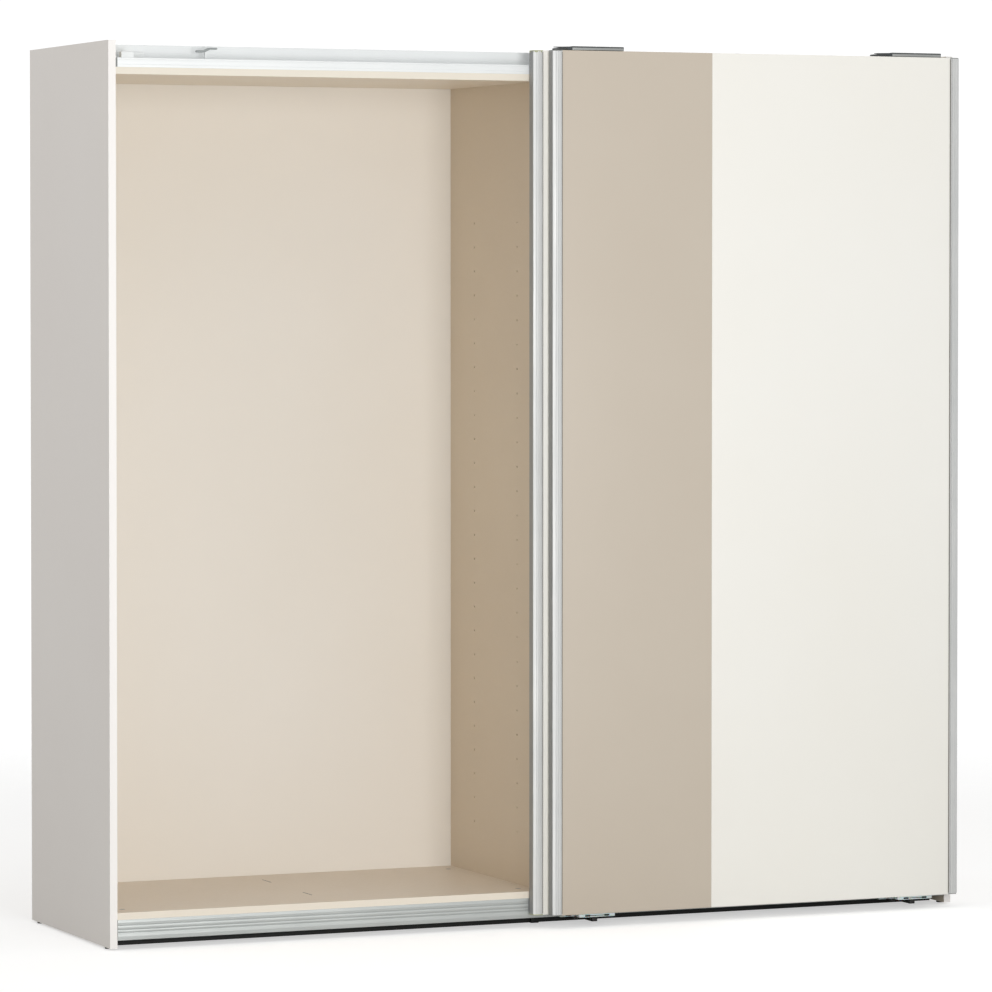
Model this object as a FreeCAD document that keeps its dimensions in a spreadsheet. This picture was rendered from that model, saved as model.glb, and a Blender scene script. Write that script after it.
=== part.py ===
import FreeCAD, Part

# A two-door sliding wardrobe. Both doors run in front of the carcass: the left door on the inner
# track, the right door on the outer one. They hang from grooved wheels on a rail that lies on the
# top boards, and plastic guides steer them in a rail under the bottom boards.
#
# Millimetres. X runs to the right, Y from the front to the back and Z up. The origin is on the
# floor, in the middle of the width and of the whole depth, doors included. The doors are stored
# where they leave the left compartment open.

import os
import re

import Sketcher

# Every size that can be set by itself: alias, value, meaning.
SIZES = (
    ("carcass_width", 2200, "over the side panels"),
    ("carcass_height", 2100, "floor to the top of the side panels"),
    ("carcass_depth", 578, "front to rear edge of the side panels"),
    ("side_thickness", 18, "side panels and partition"),
    ("board_thickness", 16, "top and bottom boards"),
    ("base_height", 70, "floor to the underside of the bottom boards"),
    ("top_drop", 62, "top of the side panels down to the upper face of the top boards"),
    ("back_thickness", 3, "back panels"),
    ("back_margin", 12, "back panels to the rear edge of the side panels"),
    ("back_lap", 16, "back panels past the outer faces of the top and bottom boards"),
    ("groove_skin", 3, "grooves to the middle of the partition"),
    ("groove_play", 0.2, "back panels in their grooves"),
    ("plinth_setback", 75, "front edge to the plinth"),
    ("plinth_thickness", 16, "plinth"),
    ("glide_height", 4, "floor glides"),
    ("glide_radius", 8, "floor glides"),
    ("glide_setback", 40, "panel edge to the glide's centre"),
    ("foot_width", 24, "support feet, across the board"),
    ("foot_shoulder", 5, "support feet, each side of the blade"),
    ("blade_length", 60, "blade of a support foot"),
    ("blade_thickness", 3, "blade of a support foot"),
    ("foot_front", 170, "front edge to the front foot"),
    ("foot_rear", 120, "rear edge of the board to the rear foot"),
    ("cam_radius", 7.5, "cam locks"),
    ("cam_depth", 12.4, "cam locks"),
    ("cam_inset", 34, "end of the board to the cam's centre"),
    ("cam_setback", 65, "edge of the board to the cam"),
    ("cam_bolt_radius", 3.2, "cam bolts"),
    ("dowel_radius", 4, "dowels"),
    ("dowel_length", 30, "dowels"),
    ("dowel_step", 32, "cam to dowel"),
    ("bore_skin", 1, "blind bores to the middle of the partition"),
    ("bore_play", 0.1, "radial play of what sits in a bore"),
    ("pin_radius", 2.5, "shelf pin holes"),
    ("pin_pitch", 59, "shelf pin holes"),
    ("pin_first", 212, "floor to the lowest shelf pin hole"),
    ("pin_last", 320, "top board down past the highest shelf pin hole"),
    ("pin_setback", 150, "board edge to the shelf pin holes"),
    ("rail_wall", 2, "both rails"),
    ("rail_play", 1, "rail end to side panel"),
    ("web_gap", 3, "right door's cheeks to the rear wall of the top rail"),
    ("fascia_height", 22, "front wall of the top rail"),
    ("web_height", 54, "rear wall of the top rail"),
    ("track_height", 18, "top board to the running edges"),
    ("track_thickness", 3, "running edges"),
    ("track_step", 30, "track to track"),
    ("apron_floor", 22, "floor to the apron of the bottom rail"),
    ("channel_rise", 4, "apron's lower edge to the channel walls"),
    ("channel_width", 5, "guide channels"),
    ("back_lip", 20, "rear wall of the bottom rail"),
    ("line_height", 1.2, "decorative lines along the apron"),
    ("line_depth", 0.8, "decorative lines along the apron"),
    ("line_1", 13.5, "underside of the board to the first line"),
    ("line_2", 23.3, "underside of the board to the second line"),
    ("line_3", 30, "underside of the board to the third line"),
    ("screw_radius", 2, "screws"),
    ("screw_length", 13, "screws, under the head"),
    ("screw_head_radius", 4, "screws"),
    ("screw_head_height", 2, "screws"),
    ("stop_length", 30, "track stops"),
    ("stop_height", 34, "track stops"),
    ("stop_gap", 1, "track stop to carrier at the end of the travel"),
    ("stop_play", 1, "inner stops to the fascia"),
    ("stop_reach", 4, "stops across the cheeks"),
    ("catch_inset", 228, "outside of the carcass to the soft-close catch"),
    ("catch_width", 8, "soft-close catches, front to back"),
    ("catch_length", 38, "soft-close catches"),
    ("catch_stem", 8, "soft-close catches"),
    ("catch_tab", 4, "thickness of a catch's foot and tabs"),
    ("catch_low", 36, "rail to the lower tab"),
    ("catch_high", 43, "rail to the upper tab"),
    ("apron_show", 10, "apron below the doors"),
    ("door_drop", 6, "top of the side panels down to the doors"),
    ("door_inset", 14, "closed door's edge to the outside of the carcass"),
    ("door_overlap", 16, "closed doors over each other"),
    ("finger_room", 37, "left door's stile clear of the right door when both are stacked"),
    ("rear_play", 4, "left door to carcass"),
    ("door_gap", 4, "door to door"),
    ("stile_width", 25, "stiles"),
    ("stile_depth", 27, "stiles"),
    ("stile_wall", 2, "stiles"),
    ("stile_bevel", 1.5, "front corners of the stiles"),
    ("slot_depth", 10, "panel slot of the stiles"),
    ("reed_width", 1, "fine lines on the stiles"),
    ("reed_depth", 0.6, "fine lines on the stiles"),
    ("reed_step", 8, "fine lines on the stiles"),
    ("panel_thickness", 16, "door panels"),
    ("panel_play", 0.2, "door panels in the slots"),
    ("accent_width", 420, "door edge to the joint of its panels"),
    ("joint_gap", 0.3, "between the two panels of a door"),
    ("strip_width", 60, "joint strip"),
    ("strip_thickness", 4, "joint strip"),
    ("strip_end", 60, "joint strip to the door's top and bottom"),
    ("strip_margin", 15, "joint strip's edge to its screws"),
    ("cap_thickness", 2, "stile end caps"),
    ("plug_length", 10, "end caps into the stile"),
    ("brush_width", 5, "dust brush"),
    ("brush_inset", 5, "stile's outer side to the dust brush"),
    ("brush_play", 0.5, "dust brush to the surface it closes on"),
    ("brush_proud", 2, "dust brush above the door"),
    ("carrier_length", 136, "roller carriers"),
    ("carrier_inset", 50, "door edge to carrier"),
    ("carrier_plate", 4, "carrier's plate on the panel"),
    ("carrier_drop", 60, "carrier's plate below the door's top"),
    ("carrier_top", 4, "left door's carrier plate below the door's top"),
    ("carrier_rows", 13, "screws of a carrier, from its lower edge and from each other"),
    ("carrier_margin", 20, "carrier's end to its screws"),
    ("wheel_inset", 28, "carrier's end to the wheel's centre"),
    ("arm_gap", 4, "door top to the right door's carrier arm"),
    ("arm_thickness", 6, "right door's carrier arm"),
    ("brow_gap", 1, "door top to the carrier's front edge"),
    ("notch_first", 65, "carrier's end to the first notch in its front edge"),
    ("notch_second", 101, "carrier's end to the second notch"),
    ("notch_width", 2, "notches in the carrier's front edge"),
    ("notch_depth", 3, "notches in the carrier's front edge"),
    ("tongue_length", 46, "tongue beside the right door's carriers"),
    ("tongue_tip", 1.2, "thickness of the tongue's tip"),
    ("tongue_drop", 1, "top of the carrier's arm down to the tongue's"),
    ("merge", 1, "how far a tongue or an arm runs into the piece that it is part of"),
    ("tongue_width", 8, "tongue, front to back"),
    ("cheek_gap", 2, "wheel to cheek"),
    ("cheek_thickness", 6, "cheek that holds the axles"),
    ("cheek_height", 14, "cheek that holds the axles"),
    ("tread_radius", 13, "wheels"),
    ("flange_height", 2.5, "wheels' flanges over the tread"),
    ("rim_wall", 2, "wheels' rims"),
    ("wheel_width", 10, "wheels"),
    ("tread_width", 4.4, "wheels"),
    ("flank_width", 0.6, "slope between tread and flange"),
    ("hub_radius", 6, "wheels"),
    ("dish_depth", 1.5, "wheels' sides between hub and rim"),
    ("running_gap", 0.3, "tread to track"),
    ("axle_radius", 3, "axles"),
    ("axle_play", 0.05, "axles in the wheels"),
    ("axle_head_radius", 4.5, "axles"),
    ("axle_head", 1.5, "axles"),
    ("side_play", 0.4, "wheel to the axle's head"),
    ("guide_length", 94, "bottom guides"),
    ("guide_inset", 70, "door edge to guide"),
    ("guide_body", 8, "guide below the door"),
    ("guide_tab", 30, "guide's tab behind the panel"),
    ("guide_plate", 3, "guide's tab"),
    ("guide_arm", 4, "guide's arm"),
    ("guide_arm_width", 40, "guide's arm"),
    ("guide_leg", 7, "guide's leg, front to back"),
    ("guide_socket", 2.5, "radius of the two sockets in the guide's front"),
    ("guide_socket_depth", 5, "sockets in the guide's front"),
    ("guide_margin", 20, "guide's end to its screws and sockets"),
    ("arm_play", 2.5, "apron to the left door's guide arms"),
    ("arm_step", 3.5, "guide arm to guide arm"),
    ("fin_thickness", 3, "guide fins in the channels"),
    ("fin_reach", 10, "guide fins into the channels"),
)

# Places and lengths that follow from the sizes, each written once.
PLACES = {
    "door_zone": "rear_play + 2 * stile_depth + door_gap",
    "front": "(door_zone - carcass_depth) / 2",
    "left_outside": "-carcass_width / 2",
    "right_inside": "carcass_width / 2 - side_thickness",
    "partition_left": "-side_thickness / 2",
    "compartment": "(carcass_width - 3 * side_thickness) / 2",
    "board_depth": "carcass_depth - back_margin - back_thickness - groove_play",
    "back_groove": "side_thickness / 2 - groove_skin",
    "bore_depth": "side_thickness / 2 - bore_skin",
    "top_upper": "carcass_height - top_drop",
    "top_under": "top_upper - board_thickness",
    "back_front": "carcass_depth - back_margin - back_thickness",
    "pin_rows": "floor((top_under - pin_first - pin_last) / pin_pitch) + 1",
    "inner_track": "rail_wall + stop_play + stop_reach + cheek_near",
    "outer_track": "inner_track + track_step",
    "rail_depth": "outer_track + cheek_far + web_gap + rail_wall",
    "apron_height": "base_height - apron_floor",
    "channel_height": "apron_height - channel_rise",
    "rail_length": "carcass_width - 2 * side_thickness - 2 * rail_play",
    "screw_line": "(inner_track + outer_track) / 2",
    "screw_hole": "screw_radius + bore_play",
    "screw_bite": "screw_length - 2",
    "running_edge": "top_upper + track_height",
    "wheel_height": "running_edge + tread_radius + running_gap",
    "flange_radius": "tread_radius + flange_height",
    "door_bottom": "apron_floor + apron_show",
    "door_top": "carcass_height - door_drop",
    "door_height": "door_top - door_bottom",
    "strip_length": "door_height - 2 * strip_end",
    "door_width": "(carcass_width - 2 * door_inset + door_overlap) / 2",
    "door_travel": "carcass_width - 2 * door_inset - door_width - finger_room",
    "right_door_left": "carcass_width / 2 - door_inset - door_width",
    "left_door_left": "right_door_left - finger_room",
    "left_door_front": "front - rear_play - stile_depth",
    "right_door_front": "left_door_front - door_gap - stile_depth",
    "panel_front": "stile_wall",
    "panel_rear": "panel_front + panel_thickness",
    "slot_floor": "stile_width - slot_depth",
    "panel_end": "slot_floor + panel_play",
    "plate_bottom": "door_top - carrier_drop",
    "arm_bottom": "door_top + arm_gap",
    "cheek_bottom": "wheel_height - cheek_height / 2",
    "cheek_near": "wheel_width / 2 + cheek_gap",
    "cheek_far": "cheek_near + cheek_thickness",
    "guide_bottom": "door_bottom - guide_body",
    "left_arm_floor": "apron_floor - arm_play - guide_arm",
    "right_arm_floor": "left_arm_floor - arm_step - guide_arm",
    "fin_top": "base_height - channel_height + fin_reach",
}

CARRIER_ENDS = ("carrier_inset", "door_width - carrier_inset - carrier_length")
GUIDE_ENDS = ("guide_inset", "door_width - guide_inset - guide_length")
RAIL_SCREWS_PER_BOARD = 4
BACK_SCREWS_PER_EDGE = 4
STRIP_SCREW_ROWS = 6

document = FreeCAD.newDocument("SlidingDoorWardrobe")
sheet = document.addObject("Spreadsheet::Sheet", "Sizes")
for row, (alias, value, meaning) in enumerate(SIZES, start=1):
    sheet.set(f"A{row}", alias)
    sheet.set(f"B{row}", str(value))
    sheet.setAlias(f"B{row}", alias)
    sheet.set(f"C{row}", meaning)
document.recompute()
ALIASES = {alias for alias, value, meaning in SIZES}


def live(formula):
    """The formula with its places written out and its aliases pointing at the sheet."""

    def written_out(match):
        word = match.group(0)
        if word in PLACES:
            return f"({live(PLACES[word])})"
        if word in ALIASES:
            return f"Sizes.{word}"
        if word == "floor":
            return word
        raise ValueError(f"{word} in {formula} is neither a size nor a place")

    return re.sub(r"[a-z_]\w*", written_out, formula)


def value_of(formula):
    """The formula's value now, in millimetres."""
    return float(sheet.evalExpression(live(formula)))


def place(thing, x, y, z):
    """Ties the object's position to the sheet."""
    for axis, formula in zip("xyz", (x, y, z)):
        thing.setExpression(f"Placement.Base.{axis}", live(formula))


def new_body(label, x, y, z):
    """An empty body at its place."""
    body = document.addObject("PartDesign::Body", label)
    body.Label = label
    place(body, x, y, z)
    return body


def rectangle(low_u, low_v, high_u, high_v):
    """The four corners of an upright rectangle."""
    return [(low_u, low_v), (high_u, low_v), (high_u, high_v), (low_u, high_v)]


def new_sketch(body, plane, start):
    """An empty sketch on one of the body's origin planes, moved to start along its axis."""
    sketch = body.newObject("Sketcher::SketchObject", f"{body.Label}_sketch")
    support = [item for item in body.Origin.OriginFeatures if item.Role == f"{plane}_Plane"]
    sketch.AttachmentSupport = [(support[0], "")]
    sketch.MapMode = "FlatFace"
    # The XZ plane's normal points to -Y.
    offset = f"-({start})" if plane == "XZ" else start
    sketch.setExpression("AttachmentOffset.Base.z", live(offset))
    return sketch


def tie(sketch, point, corner):
    """Ties a point of the sketch to the sheet: (geometry, end) at (u, v)."""
    for kind, formula in zip(("DistanceX", "DistanceY"), corner):
        index = sketch.addConstraint(Sketcher.Constraint(kind, -1, 1, *point, value_of(formula)))
        sketch.setExpression(f"Constraints[{index}]", live(formula))


def draw_polygon(sketch, corners):
    """A closed polygon with every corner tied to the sheet."""
    first = sketch.GeometryCount
    count = len(corners)
    points = [FreeCAD.Vector(value_of(u), value_of(v), 0) for u, v in corners]
    lines = [Part.LineSegment(points[i], points[(i + 1) % count]) for i in range(count)]
    sketch.addGeometry(lines)
    for i in range(count):
        follower = first + (i + 1) % count
        sketch.addConstraint(Sketcher.Constraint("Coincident", first + i, 2, follower, 1))
    for i, corner in enumerate(corners):
        tie(sketch, (first + i, 1), corner)


def draw_circle(sketch, centre, radius):
    """A circle with its centre and radius tied to the sheet."""
    middle = FreeCAD.Vector(value_of(centre[0]), value_of(centre[1]), 0)
    circle = Part.Circle(middle, FreeCAD.Vector(0, 0, 1), value_of(radius))
    index = sketch.addGeometry(circle)
    tie(sketch, (index, 3), centre)
    bound = sketch.addConstraint(Sketcher.Constraint("Radius", index, value_of(radius)))
    sketch.setExpression(f"Constraints[{bound}]", live(radius))


def pad(body, plane, start, length, *polygons):
    """Adds the polygons' prism, from start along the plane's axis."""
    sketch = new_sketch(body, plane, start)
    for corners in polygons:
        draw_polygon(sketch, corners)
    feature = body.newObject("PartDesign::Pad", f"{body.Label}_pad")
    feature.Profile = sketch
    feature.Reversed = plane == "XZ"
    feature.setExpression("Length", live(length))
    return feature


def pocket(body, plane, start, depth, way, polygons=(), circles=(), radius="0"):
    """Cuts the outlines from start, towards + or - along the plane's axis."""
    before = body.Tip
    sketch = new_sketch(body, plane, start)
    for corners in polygons:
        draw_polygon(sketch, corners)
    for centre in circles:
        draw_circle(sketch, centre, radius)
    feature = body.newObject("PartDesign::Pocket", f"{body.Label}_pocket")
    feature.Profile = sketch
    feature.Reversed = (way == "+") != (plane == "XZ")
    feature.setExpression("Length", live(depth))
    document.recompute()
    if feature.Shape.Volume >= before.Shape.Volume - 1e-6:
        raise RuntimeError(f"{feature.Name} cuts nothing")
    return feature


def repeat(body, feature, axis, span, occurrences):
    """A row of one feature along the axis of its sketch."""
    pattern = body.newObject("PartDesign::LinearPattern", f"{body.Label}_row")
    pattern.Originals = [feature]
    pattern.Direction = (feature.Profile[0], [axis])
    pattern.setExpression("Length", live(span))
    pattern.setExpression("Occurrences", live(occurrences))
    body.Tip = pattern
    return pattern


def revolve(body, corners):
    """Turns an outline of (radius, along Y) about the body's Y axis."""
    sketch = new_sketch(body, "XY", "0")
    draw_polygon(sketch, corners)
    feature = body.newObject("PartDesign::Revolution", f"{body.Label}_turn")
    feature.Profile = sketch
    feature.ReferenceAxis = (sketch, ["V_Axis"])
    feature.Angle = 360
    return feature


def compound(label, members):
    """One node that holds several separate solids."""
    node = document.addObject("Part::Compound", label)
    node.Label = label
    node.Links = members
    return node


def copies(label, master, spots, turn=None):
    """Copies of a master body at the spots, all turned alike, as one node."""
    members = []
    for spot in spots:
        copy = document.addObject("App::Link", f"{label}_copy")
        copy.LinkedObject = master
        if turn is not None:
            copy.Placement = FreeCAD.Placement(FreeCAD.Vector(), turn)
        place(copy, *spot)
        members.append(copy)
    return compound(label, members)


# --- fasteners used in many places -------------------------------------------------------------

QUARTER_BACK = FreeCAD.Rotation(FreeCAD.Vector(1, 0, 0), -90)
QUARTER_FORWARD = FreeCAD.Rotation(FreeCAD.Vector(1, 0, 0), 90)
QUARTER_SIDE = FreeCAD.Rotation(FreeCAD.Vector(0, 0, 1), 90)
HALF_TURN = FreeCAD.Rotation(FreeCAD.Vector(0, 0, 1), 180)


def screw_master():
    """A pan head screw: head seated at y = 0, shank towards -Y."""
    body = new_body("screw_master", "0", "0", "0")
    revolve(body, [
        ("0", "-screw_length"),
        ("screw_radius / 3", "-screw_length"),
        ("screw_radius", "-screw_length + screw_radius"),
        ("screw_radius", "0"),
        ("screw_head_radius", "0"),
        ("screw_head_radius", "screw_head_height / 2"),
        ("screw_head_radius * 0.7", "screw_head_height"),
        ("0", "screw_head_height"),
    ])
    reach = "screw_head_radius * 0.5"
    half = "screw_head_radius * 0.1"
    for corners in (rectangle(f"-{reach}", f"-{half}", reach, half),
                    rectangle(f"-{half}", f"-{reach}", half, reach)):
        pocket(body, "XZ", "screw_head_height", "screw_head_height / 2", "-", polygons=[corners])
    return body


def rod_master(label, radius, length):
    """A plain rod from y = 0 towards +Y."""
    body = new_body(label, "0", "0", "0")
    revolve(body, rectangle("0", "0", radius, length))
    return body


def cam_master():
    """A cam lock: upper face at y = 0, body towards -Y, with a screwdriver slot."""
    body = new_body("cam_master", "0", "0", "0")
    revolve(body, rectangle("0", "-cam_depth", "cam_radius", "0"))
    half = "cam_radius * 0.12"
    reach = "cam_radius * 0.7"
    for corners in (rectangle(f"-{reach}", f"-{half}", reach, half),
                    rectangle(f"-{half}", f"-{reach}", half, reach)):
        pocket(body, "XZ", "0", "cam_depth / 4", "-", polygons=[corners])
    return body


screw = screw_master()

# --- carcass -------------------------------------------------------------------------------------

CAM_LINES = ("cam_setback", "board_depth - cam_setback")
DOWEL_LINES = ("cam_setback + dowel_step", "board_depth - cam_setback - dowel_step")
BOARD_CENTRES = ("base_height + board_thickness / 2", "top_under + board_thickness / 2")
PIN_LINES = ("pin_setback", "board_depth - pin_setback")
FOOT_LINES = ("foot_front", "board_depth - foot_rear")


def joint_bores(body, start, way):
    """Bores for cam bolts and dowels, pin hole rows and the back groove, on one face."""
    for radius, lines in (("cam_bolt_radius", CAM_LINES), ("dowel_radius", DOWEL_LINES)):
        spots = [(y, f"{z} - glide_height") for y in lines for z in BOARD_CENTRES]
        pocket(body, "YZ", start, "bore_depth", way, circles=spots,
               radius=f"{radius} + bore_play")
    pins = pocket(body, "YZ", start, "bore_depth", way, radius="pin_radius",
                  circles=[(y, "pin_first - glide_height") for y in PIN_LINES])
    repeat(body, pins, "V_Axis", "pin_pitch * (pin_rows - 1)", "pin_rows")
    groove = rectangle("back_front - groove_play", "0",
                       "back_front + back_thickness", "carcass_height")
    pocket(body, "YZ", start, "back_groove", way, polygons=[groove])


def side_panel(label, x, inner_face, way):
    """An outer upright. Its bores start at the inner face."""
    body = new_body(label, x, "front", "glide_height")
    pad(body, "YZ", "0", "side_thickness",
        rectangle("0", "0", "carcass_depth", "carcass_height - glide_height"))
    joint_bores(body, inner_face, way)
    return body


def centre_partition():
    """The middle upright: as high as the top boards, cut out in front for the bottom rail."""
    body = new_body("centre_partition", "partition_left", "front", "glide_height")
    notch_y = "rail_depth + rail_play"
    notch_z = "base_height - glide_height"
    height = "top_upper - glide_height"
    pad(body, "YZ", "0", "side_thickness", [
        (notch_y, "0"), ("carcass_depth", "0"), ("carcass_depth", height),
        ("0", height), ("0", notch_z), (notch_y, notch_z),
    ])
    joint_bores(body, "0", "+")
    joint_bores(body, "side_thickness", "-")
    return body


def rail_screw_lines(length, count):
    """Evenly spaced places along a length, half a step in from its ends."""
    return [f"{length} * {2 * i + 1} / {2 * count}" for i in range(count)]


def board(label, x, z, screw_side, foot_slots):
    """A top or bottom board with its cam, dowel and screw bores. Screws enter from one face."""
    body = new_body(label, x, "front", z)
    pad(body, "XY", "0", "board_thickness", rectangle("0", "0", "compartment", "board_depth"))
    cams = [(u, v) for u in ("cam_inset", "compartment - cam_inset") for v in CAM_LINES]
    pocket(body, "XY", "board_thickness", "cam_depth + bore_play", "-", circles=cams,
           radius="cam_radius + bore_play")
    middle = "board_thickness / 2"
    for start, way in (("0", "+"), ("compartment", "-")):
        pocket(body, "YZ", start, "cam_inset", way, circles=[(y, middle) for y in CAM_LINES],
               radius="cam_bolt_radius + bore_play")
        pocket(body, "YZ", start, "dowel_length - bore_depth + bore_play", way,
               circles=[(y, middle) for y in DOWEL_LINES], radius="dowel_radius + bore_play")
    start, way = ("board_thickness", "-") if screw_side == "upper" else ("0", "+")
    lines = rail_screw_lines("compartment", RAIL_SCREWS_PER_BOARD)
    pocket(body, "XY", start, "screw_bite", way, circles=[(line, "screw_line") for line in lines],
           radius="screw_hole")
    edge_lines = rail_screw_lines("compartment", BACK_SCREWS_PER_EDGE)
    pocket(body, "XZ", "board_depth", "screw_bite", "-",
           circles=[(line, middle) for line in edge_lines], radius="screw_hole")
    if foot_slots:
        slots = []
        for y in FOOT_LINES:
            half_x = "(blade_thickness / 2 + bore_play)"
            half_y = "(blade_length / 2 + bore_play)"
            slots.append(rectangle(f"compartment / 2 - {half_x}", f"{y} - {half_y}",
                                   f"compartment / 2 + {half_x}", f"{y} + {half_y}"))
        pocket(body, "XY", "0", "board_thickness", "+", polygons=slots)
    return body


def back_panel(label, x):
    """A thin back in the grooves of its two uprights, screwed to the boards' rear edges."""
    body = new_body(label, f"{x} - back_groove + groove_play", "front + back_front",
                    "base_height - back_lap")
    reach = "back_groove - groove_play"
    height = "top_upper - base_height + 2 * back_lap"
    pad(body, "XZ", "0", "back_thickness",
        rectangle("0", "0", f"compartment + 2 * ({reach})", height))
    lines = rail_screw_lines("compartment", BACK_SCREWS_PER_EDGE)
    heights = [f"{z} - base_height + back_lap" for z in BOARD_CENTRES]
    pocket(body, "XZ", "0", "back_thickness", "+", radius="screw_hole",
           circles=[(f"{reach} + {line}", z) for line in lines for z in heights])
    return body


def plinth(label, x):
    """The dark board that closes the space under a compartment."""
    body = new_body(label, x, "front + plinth_setback", "glide_height")
    pad(body, "XY", "0", "base_height - glide_height",
        rectangle("0", "0", "compartment", "plinth_thickness"))
    return body


def support_foot_master():
    """A foot under the middle of a bottom board. Its blade fills a slot of the board."""
    body = new_body("foot_master", "0", "0", "0")
    half_blade = "(blade_length / 2)"
    half_foot = f"({half_blade} + foot_shoulder)"
    pad(body, "XY", "0", "base_height",
        rectangle("-foot_width / 2", f"-{half_foot}", "foot_width / 2", half_foot))
    pad(body, "XY", "base_height", "board_thickness",
        rectangle("-blade_thickness / 2", f"-{half_blade}", "blade_thickness / 2", half_blade))
    return body


side_panel("left_side_panel", "left_outside", "side_thickness", "-")
side_panel("right_side_panel", "right_inside", "0", "+")
centre_partition()
COMPARTMENTS = {"left": "left_outside + side_thickness", "right": "side_thickness / 2"}
for name, edge in COMPARTMENTS.items():
    board(f"{name}_bottom_panel", edge, "base_height", "lower", True)
    board(f"{name}_top_panel", edge, "top_under", "upper", False)
    back_panel(f"{name}_back_panel", edge)
    plinth(f"{name}_plinth", edge)

feet = [(f"{edge} + compartment / 2", f"front + {y}", "0")
        for edge in COMPARTMENTS.values() for y in FOOT_LINES]
copies("support_feet", support_foot_master(), feet)

glide = new_body("glide_master", "0", "0", "0")
revolve(glide, rectangle("0", "0", "glide_radius", "glide_height"))
glide_lines = {"left_outside + side_thickness / 2": "glide_setback",
               "0": "rail_depth + rail_play + glide_setback",
               "carcass_width / 2 - side_thickness / 2": "glide_setback"}
glide_spots = []
for x, first in glide_lines.items():
    for y in (first, "carcass_depth - glide_setback"):
        glide_spots.append((x, f"front + {y}", "0"))
copies("floor_glides", glide, glide_spots, QUARTER_FORWARD)

cam_spots = []
for edge in COMPARTMENTS.values():
    for x in ("cam_inset", "compartment - cam_inset"):
        for y in CAM_LINES:
            for z in ("base_height", "top_under"):
                cam_spots.append((f"{edge} + {x}", f"front + {y}", f"{z} + board_thickness"))
copies("cam_locks", cam_master(), cam_spots, QUARTER_FORWARD)


def joint_rods(label, radius, length, lines):
    """Rods across the joints between boards and uprights: cam bolts or dowels."""
    master = rod_master(f"{label}_master", radius, length)
    spots = []
    for edge in COMPARTMENTS.values():
        for x in (f"{edge} - bore_depth + {length}", f"{edge} + compartment + bore_depth"):
            for y in lines:
                for z in BOARD_CENTRES:
                    spots.append((x, f"front + {y}", z))
    return copies(label, master, spots, QUARTER_SIDE)


joint_rods("cam_bolts", "cam_bolt_radius", "bore_depth + cam_inset - cam_radius - bore_play * 3",
           CAM_LINES)
joint_rods("wood_dowels", "dowel_radius", "dowel_length", DOWEL_LINES)

back_screw_spots = []
for edge in COMPARTMENTS.values():
    for line in rail_screw_lines("compartment", BACK_SCREWS_PER_EDGE):
        for z in BOARD_CENTRES:
            back_screw_spots.append((f"{edge} + {line}", "front + back_front + back_thickness", z))
copies("back_panel_screws", screw, back_screw_spots)

# --- rails and what is fixed to them -------------------------------------------------------------


def comb(depth, plate, teeth, sign):
    """End view of an extrusion: a flat plate at z = 0 with upright teeth on its other side."""
    corners = [("0", "0"), (depth, "0")]
    for start, thickness, height in reversed(teeth):
        far = f"{start} + {thickness}"
        corners.append((far, f"{sign}{plate}"))
        corners.append((far, f"{sign}{height}"))
        corners.append((start, f"{sign}{height}"))
        corners.append((start, f"{sign}{plate}"))
    return corners


def rail_bores(body, start, way):
    """Screw holes through a rail's plate, over the holes of the boards."""
    spots = []
    for shift in ("-rail_play", "compartment + side_thickness - rail_play"):
        for line in rail_screw_lines("compartment", RAIL_SCREWS_PER_BOARD):
            spots.append((f"{shift} + {line}", "screw_line"))
    pocket(body, "XY", start, "rail_wall", way, circles=spots, radius="screw_hole")


def top_rail():
    """The extrusion on the top boards: fascia, two running edges and a high rear wall."""
    body = new_body("top_rail", "left_outside + side_thickness + rail_play", "front", "top_upper")
    half = "track_thickness / 2"
    teeth = [("0", "rail_wall", "fascia_height"),
             (f"inner_track - {half}", "track_thickness", "track_height"),
             (f"outer_track - {half}", "track_thickness", "track_height"),
             ("rail_depth - rail_wall", "rail_wall", "web_height")]
    pad(body, "YZ", "0", "rail_length", comb("rail_depth", "rail_wall", teeth, ""))
    rail_bores(body, "0", "+")
    return body


def bottom_rail():
    """The extrusion under the bottom boards: apron, two guide channels and a rear lip."""
    body = new_body("bottom_rail", "left_outside + side_thickness + rail_play", "front",
                    "base_height")
    teeth = [("0", "rail_wall", "apron_height")]
    for track in ("inner_track", "outer_track"):
        teeth.append((f"{track} - channel_width / 2 - rail_wall", "rail_wall", "channel_height"))
        teeth.append((f"{track} + channel_width / 2", "rail_wall", "channel_height"))
    teeth.append(("rail_depth - rail_wall", "rail_wall", "back_lip"))
    pad(body, "YZ", "0", "rail_length", comb("rail_depth", "rail_wall", teeth, "-"))
    lines = [rectangle("0", f"-{line} - line_height / 2", "line_depth",
                       f"-{line} + line_height / 2") for line in ("line_1", "line_2", "line_3")]
    pocket(body, "YZ", "0", "rail_length", "+", polygons=lines)
    rail_bores(body, "0", "-")
    return body


def rail_screw_spots(z):
    """Where the screws of one rail are seated."""
    return [(f"{edge} + {line}", "front + screw_line", z)
            for edge in COMPARTMENTS.values()
            for line in rail_screw_lines("compartment", RAIL_SCREWS_PER_BOARD)]


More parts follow.
